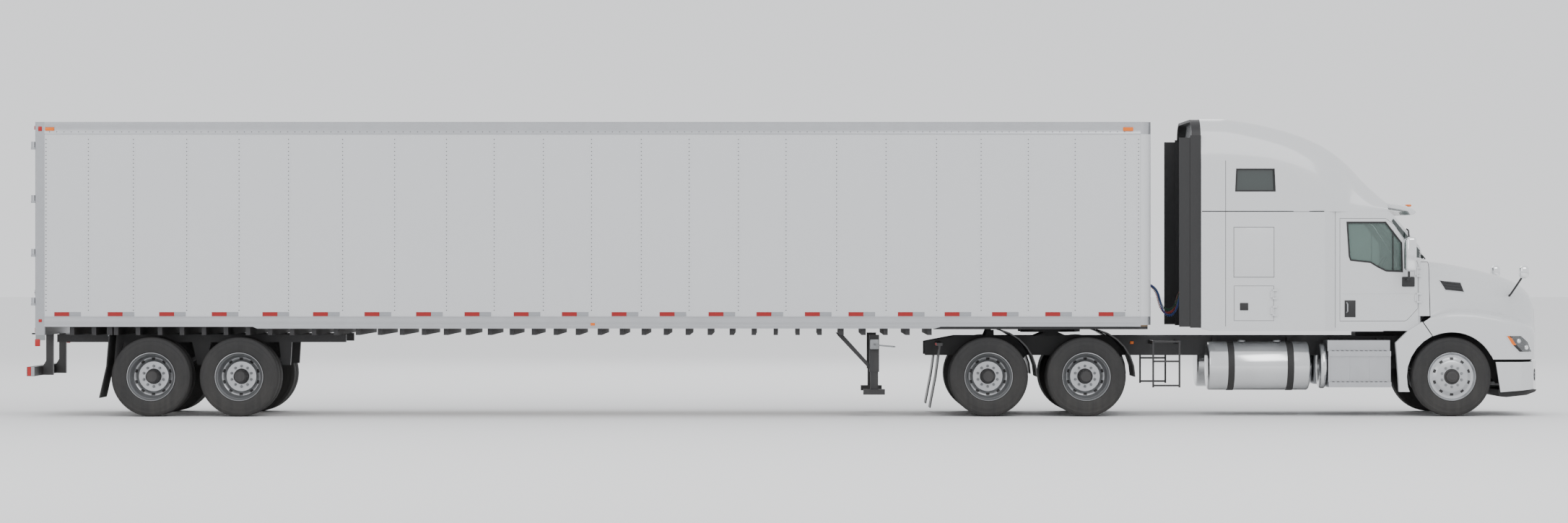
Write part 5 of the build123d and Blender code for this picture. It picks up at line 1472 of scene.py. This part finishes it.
@dataclass
class Hood:
    """The smooth hood with its lamps, vents, grille and mirrors, which tilt with it."""

    front: float = along(6.772)
    low: float = 0.790
    axle: float = 5.515
    ease: float = 0.075
    sections: tuple[tuple[float, ...], ...] = (
        (5.100, 1.150, 1.345, 1.100, 0.850, 2.155), (5.230, 1.160, 1.370, 1.090, 0.840, 2.150),
        (5.515, 1.200, 1.440, 1.000, 0.770, 2.118), (6.040, 1.200, 1.400, 0.880, 0.650, 2.010),
        (6.480, 1.150, 1.290, 0.780, 0.540, 1.868), (6.690, 0.940, 1.200, 0.680, 0.460, 1.717),
        (6.772, 0.580, 1.130, 0.560, 0.380, 1.560),
    )
    lamp_upper: tuple[Spot, ...] = ((6.269, 1.120), (6.475, 1.120), (6.583, 1.033), (6.648, 0.892))
    lamp_lower: tuple[Spot, ...] = ((6.269, 1.120), (6.344, 1.001), (6.453, 0.892), (6.648, 0.892))

    def half(self, section: tuple[float, ...]) -> Line:
        """Return the left half of one cross-section, from the lower edge to the top."""
        _, fender, crest_z, valley, top_width, top = section
        dip = (valley, crest_z + 0.2 * (fender - valley))
        high = (top_width, top)
        return [(fender, self.low), (fender, crest_z), dip, shoulder(dip, high, 5.0, 0.6), high]

    def shell(self) -> Piece:
        """Skin the hood and cut out the arches, the rear edge and the grille."""
        sections = smooth_between(list(self.sections), 5)
        rings = [whole_arch(along(section[0]), self.half(section), self.ease) for section in sections]
        hood = skin_of("hood_skin", rings, capped=True)
        use_modifier(hood, "SOLIDIFY", thickness=0.014, offset=-1.0)
        axle = (along(self.axle), 0.0, AXLE_HEIGHT)
        cut(hood, turned("arch_tool", [(-1.5, 0.0), (-1.5, 0.62), (1.5, 0.62), (1.5, 0.0)], axle, 1, 72))
        rear = (5.0, 2.5), (5.232, 2.5), (5.232, 1.377), (5.126, 1.309), (5.268, 1.10), (5.268, 0.7), (5.0, 0.7)
        cut(hood, plate("rear_tool", seen(rear, -1.5), (0.0, 3.0, 0.0), 0.0))
        corners = (-0.48, 0.88), (-0.40, 1.50), (0.40, 1.50), (0.48, 0.88)
        cut(hood, plate("grille_tool", [(self.front - 0.1, y, z) for y, z in corners], (0.2, 0.0, 0.0), 0.0))
        return fit(hood, "gloss_white_paint", "hood", ("hood",), 30.0)

    def lip(self, hood: Piece) -> None:
        """Roll a lip round both wheel arches."""
        points = []
        for k in range(41):
            angle = math.radians(-22 + k * 224 / 40)
            x, z = along(self.axle) + 0.622 * math.cos(angle), AXLE_HEIGHT + 0.622 * math.sin(angle)
            if z > 0.80 and x > along(5.135):
                points.append((x, skin_y(hood, x + 0.004 * math.cos(angle), z + 0.01, 1) - 0.004, z + 0.004))
        fit(both_sides(pipe("arch_lip", points, 0.011)), "gloss_white_paint", "hood")

    def headlamps(self, hood: Piece) -> None:
        """Set a dark housing, two reflectors, an amber strip, a clear lens and a bright rim on each side."""
        upper = [(along(x), z) for x, z in self.lamp_upper]
        lower = [(along(x), z) for x, z in self.lamp_lower]
        loop = upper + lower[-2:0:-1]
        for side in Side:
            s, word = side.value, side.word
            fit(patch(f"lamp_housing_{word}", hood, upper, lower, s, 0.0015), "lamp_housing", "hood")
            bowls = []
            for x, z, r in ((along(6.44), 1.045, 0.052), (along(6.545), 0.955, 0.05)):
                put_down()
                place = (x, skin_y(hood, x, z, s) - s * (r * 0.75), z)
                bpy.ops.mesh.primitive_uv_sphere_add(segments=24, ring_count=10, radius=r, location=place)
                bowls.append(settle(bpy.context.object))
            fit(joined(f"lamp_bowls_{word}", bowls), "bright_chrome", "hood")
            amber_low = [between(lower, k / 8) for k in range(4)]
            amber_up = [(x + 0.055, z + 0.004) for x, z in amber_low]
            amber_up[0] = (amber_low[0][0] + 0.03, amber_low[0][1] - 0.003)
            fit(patch(f"lamp_amber_{word}", hood, amber_up, amber_low, s, 0.0055), "amber_lens", "hood")
            stands_for = ("headlights",) if side is Side.RIGHT else ()
            fit(rim_on(f"lamp_rim_{word}", hood, loop, s, 0.004, 0.006), "bright_chrome", "hood", stands_for)
            clear_low = [(x + 0.05, z + 0.006) for x, z in lower[1:3]] + [lower[3]]
            clear_low.insert(0, clear_low[0])
            clear_up = [(upper[0][0] + 0.06, upper[0][1] - 0.006), *upper[1:]]
            fit(patch(f"lamp_lens_{word}", hood, clear_up, clear_low, s, 0.0095, 0.002), "clear_lens", "hood")

    def grille(self) -> None:
        """Build the chrome surround and the mesh behind it."""
        front = self.front
        corners = (-0.478, 0.882), (-0.398, 1.498), (0.398, 1.498), (0.478, 0.882)
        outline = [(front - 0.004, y, z) for y, z in corners]
        bars = [plate("grille_surround", outline, (0.011, 0.0, 0.0), 0.004, rim=0.04)]
        for k in range(9):
            z = 0.96 + k * 0.058
            half = 0.455 - (z - 0.882) / 0.616 * 0.08
            bars.append(block("grille_bar", (front - 0.016, -half, z), (front - 0.004, half, z + 0.010), 0.003))
        fit(joined("grille_surround", bars), "bright_chrome", "hood", ("grille",))
        wires = []
        for k in range(26):
            z = 0.90 + k * 0.0228
            half = 0.46 - (z - 0.882) / 0.616 * 0.08
            wires.append(block("mesh_wire", (front - 0.026, -half, z), (front - 0.022, half, z + 0.005), 0.0))
        for k in range(31):
            y = -0.45 + k * 0.03
            top = max(0.95, min(1.47, 0.882 + 0.616 * (0.478 - abs(y)) / 0.08))
            low, high = (front - 0.029, y - 0.0025, 0.90), (front - 0.025, y + 0.0025, top)
            wires.append(block("mesh_wire", low, high, 0.0))
        fit(joined("grille_mesh", wires), "grey_steel", "hood")
        back = block("grille_back", (front - 0.085, -0.50, 0.84), (front - 0.075, 0.50, 1.46), 0.003)
        fit(back, "lamp_housing", "hood")

    def mirrors(self) -> None:
        """Build the small chrome mirrors on their stalks."""
        head = block("hood_mirror_heads", (along(6.443), 1.123, 1.915), (along(6.573), 1.297, 2.093), 0.05, 5)
        fit(both_sides(head), "bright_chrome", "hood", ("hood_mirrors",))
        line = (6.375, 0.735, 1.66), (6.40, 0.80, 1.70), (6.46, 1.08, 1.86), (6.495, 1.18, 1.94)
        stalk = pipe("hood_mirror_stalks", [(along(x), y, z) for x, y, z in line], 0.014)
        fit(both_sides(stalk), "black_moulding", "hood")

    def vents(self, hood: Piece) -> None:
        """Set a dark vent with three louvres and a raised rim into each side of the hood."""
        upper = [(along(5.368), 1.890), (along(5.683), 1.858)]
        lower = [(along(5.455), 1.749), (along(5.733), 1.721)]
        for side in Side:
            s, word = side.value, side.word
            fit(patch(f"vent_{word}", hood, upper, lower, s, 0.002), "lamp_housing", "hood")
            slats = []
            for k in range(3):
                share = 0.22 + 0.28 * k
                ends = [tuple(a + (b - a) * share for a, b in zip(upper[i], lower[i])) for i in (0, 1)]
                line = [between(ends, 0.06 + 0.88 * t / 6) for t in range(7)]
                slats.append(pipe("louvre", [(x, skin_y(hood, x, z, s) + s * 0.004, z) for x, z in line], 0.007))
            fit(joined(f"vent_louvres_{word}", slats), "black_moulding", "hood")
            rim = rim_on(f"vent_rim_{word}", hood, [*upper, *reversed(lower)], s, 0.002, 0.007)
            fit(rim, "gloss_white_paint", "hood")

    def build(self) -> None:
        """Build all of the hood's pieces."""
        hood = self.shell()
        self.lip(hood)
        self.headlamps(hood)
        self.vents(hood)
        self.grille()
        self.mirrors()


@dataclass
class Flanks:
    """Tank straps, step treads, bumper fittings and lamps low on the tractor."""

    tank_sizes: tuple[tuple[float, ...], ...] = (
        (2.126, 3.565, 0.3365, 0.697, -0.86), (3.685, 3.804, 0.3115, 0.692, -0.835),
    )

    def tanks(self) -> None:
        """Roll both fuel tanks and the short tanks behind the steps, strap them and fit their caps."""
        drums = []
        for start, end, radius, height, y in self.tank_sizes:
            dome = [(0.0, 0.0), (0.004, radius * 0.6), (0.012, radius - 0.035), (0.022, radius - 0.012),
                    (0.04, radius)]
            profile = [(-(start + x), r) for x, r in dome] + [(-(end - x), r) for x, r in reversed(dome)]
            drums.append(fitting("drum", profile, (KINGPIN, y, height), 90, steps=96))
        fit(both_sides(joined("fuel_drums", drums)), "polished_aluminium", "tractor", ("fuel_tanks",), 40.0)
        loop = [(-0.045, 0.334), (-0.045, 0.342), (0.045, 0.342), (0.045, 0.334), (-0.045, 0.334)]
        places = [(along(x + 0.045), -0.86, 0.697) for x in (2.41, 3.235)]
        straps = [face_out(fitting("strap", loop, place, 90, steps=96)) for place in places]
        lid = [(0.0, 0.055), (0.02, 0.055), (0.026, 0.045), (0.03, 0.0)]
        caps = [fitting("cap", lid, (along(x), -0.90, 1.03), 90, "X") for x in (2.624, 3.112)]
        fit(both_sides(joined("tank_straps", straps)), "black_rubber", "tractor")
        fit(both_sides(joined("tank_caps", caps)), "grey_steel", "tractor")

    def treads(self) -> None:
        """Fit the punched treads and the step box's ribs."""
        treads, ribs = [], []
        for z, y in ((0.905, 1.162), (0.475, 1.20)):
            for k in range(12):
                x = along(3.86 + k * 0.066)
                low, high = (x, -y + 0.002, z), (x + 0.03, -y + 0.085, z + 0.006)
                treads.append(block("tread_bar", low, high, 0.002, 1))
        for x in (3.83, 4.10, 4.37, 4.64):
            ribs.append(block("step_rib", (along(x), -1.134, 0.48), (along(x + 0.012), -1.128, 0.83), 0.001, 1))
        fit(both_sides(joined("step_treads", treads)), "black_rubber", "tractor")
        fit(both_sides(joined("step_ribs", ribs)), "rail_aluminium", "tractor")

    def bumper(self) -> None:
        """Fit the fog lamps and the black air dam to the bumper."""
        lens = [(0.0, 0.0), (0.006, 0.03), (0.004, 0.066), (-0.02, 0.07)]
        well = [(-0.01, 0.0), (0.003, 0.02), (0.003, 0.084), (-0.01, 0.086)]
        for name, profile, x, finish in (("fog_lamp", lens, 6.737, "clear_lens"),
                                         ("fog_well", well, 6.733, "lamp_housing")):
            piece = face_out(fitting(name, profile, (along(x), -0.79, 0.57), -104.5, steps=28))
            fit(both_sides(piece), finish, "tractor")
        dam = (6.18, 0.372), (6.19, 0.272), (6.30, 0.262), (6.58, 0.292), (6.70, 0.338), (6.725, 0.372)
        chin = plate("air_dam", seen(dam, -1.02), (0.0, 2.04, 0.0), 0.015)
        fit(chin, "black_moulding", "tractor")

    def rear_lamps(self) -> None:
        """Fit the tail lamps on the flap arms and the amber lamp on the frame."""
        red = [block("tail_lamp", (along(-1.648), y, 0.985), (along(-1.638), y + 0.1, 1.015), 0.003, 2)
               for y in (-1.18, -0.80)]
        fit(both_sides(joined("tail_lamps", red)), "red_lens", "tractor")
        amber = block("frame_lamp", (4.845, -0.446, 0.99), (4.895, -0.429, 1.03), 0.005, 3)
        fit(both_sides(amber), "amber_lens", "tractor")

    def build(self) -> None:
        """Build all of these pieces."""
        self.tanks()
        self.treads()
        self.bumper()
        self.rear_lamps()


# Stage


@dataclass
class Studio:
    """The pale floor, the soft lights and the camera."""

    distance: float = 61.3
    height: float = 2.15
    lens: float = 99.4

    def floor(self) -> None:
        """Lay the floor."""
        put_down()
        bpy.ops.mesh.primitive_plane_add(size=400.0, location=(0.0, 0.0, -0.001))
        ground = bpy.context.object
        ground.name = "studio_floor"
        material = bpy.data.materials.new("studio_floor")
        material.use_nodes = True
        shader = material.node_tree.nodes["Principled BSDF"]
        shader.inputs["Base Color"].default_value = (0.88, 0.88, 0.88, 1.0)
        shader.inputs["Roughness"].default_value = 0.85
        ground.data.materials.append(material)
        ground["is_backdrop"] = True

    def light(self, name: str, place: Point, aim: Point, size: float, power: float) -> None:
        """Hang one soft square light."""
        data = bpy.data.lights.new(name, "AREA")
        data.shape, data.size, data.energy = "SQUARE", size, power
        lamp = bpy.data.objects.new(name, data)
        lamp.location = place
        lamp.rotation_euler = (Vector(aim) - Vector(place)).to_track_quat("-Z", "Y").to_euler()
        bpy.context.scene.collection.objects.link(lamp)

    def camera(self) -> None:
        """Set up the camera of the photograph, square to the truck's side."""
        data = bpy.data.cameras.new("camera")
        data.lens, data.sensor_width = self.lens, 36.0
        data.clip_end = 500.0
        camera = bpy.data.objects.new("camera", data)
        camera.location = (-0.02, -self.distance, self.height)
        camera.rotation_euler = Euler((math.radians(90.0), 0.0, 0.0))
        bpy.context.scene.collection.objects.link(camera)
        bpy.context.scene.camera = camera

    def build(self) -> None:
        """Set the stage."""
        self.floor()
        world = bpy.data.worlds.new("studio")
        world.use_nodes = True
        background = world.node_tree.nodes["Background"]
        background.inputs["Color"].default_value = (0.97, 0.98, 1.0, 1.0)
        background.inputs["Strength"].default_value = 1.25
        bpy.context.scene.world = world
        self.light("key", (12.0, -26.0, 22.0), (1.0, 0.0, 2.0), 18.0, 3600.0)
        self.light("fill", (-20.0, -22.0, 12.0), (-2.0, 0.0, 2.0), 16.0, 1200.0)
        self.light("back", (0.0, 24.0, 20.0), (0.0, 0.0, 2.0), 20.0, 2000.0)
        self.camera()


def main() -> None:
    """Build every sub-assembly in order and report it."""
    logging.basicConfig(level=logging.INFO, format="%(message)s")
    PAINT.mix_all()
    PAINT.coat_frame()
    Studio().build()
    for maker in (Hoses(), Wheels(), Trailer(), Cab(), Roof(), Hood(), Flanks()):
        before = len(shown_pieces())
        maker.build()
        LOG.info("%s: %d pieces", type(maker).__name__, len(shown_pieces()) - before)
    put_down()


if __name__ == "__main__":
    main()
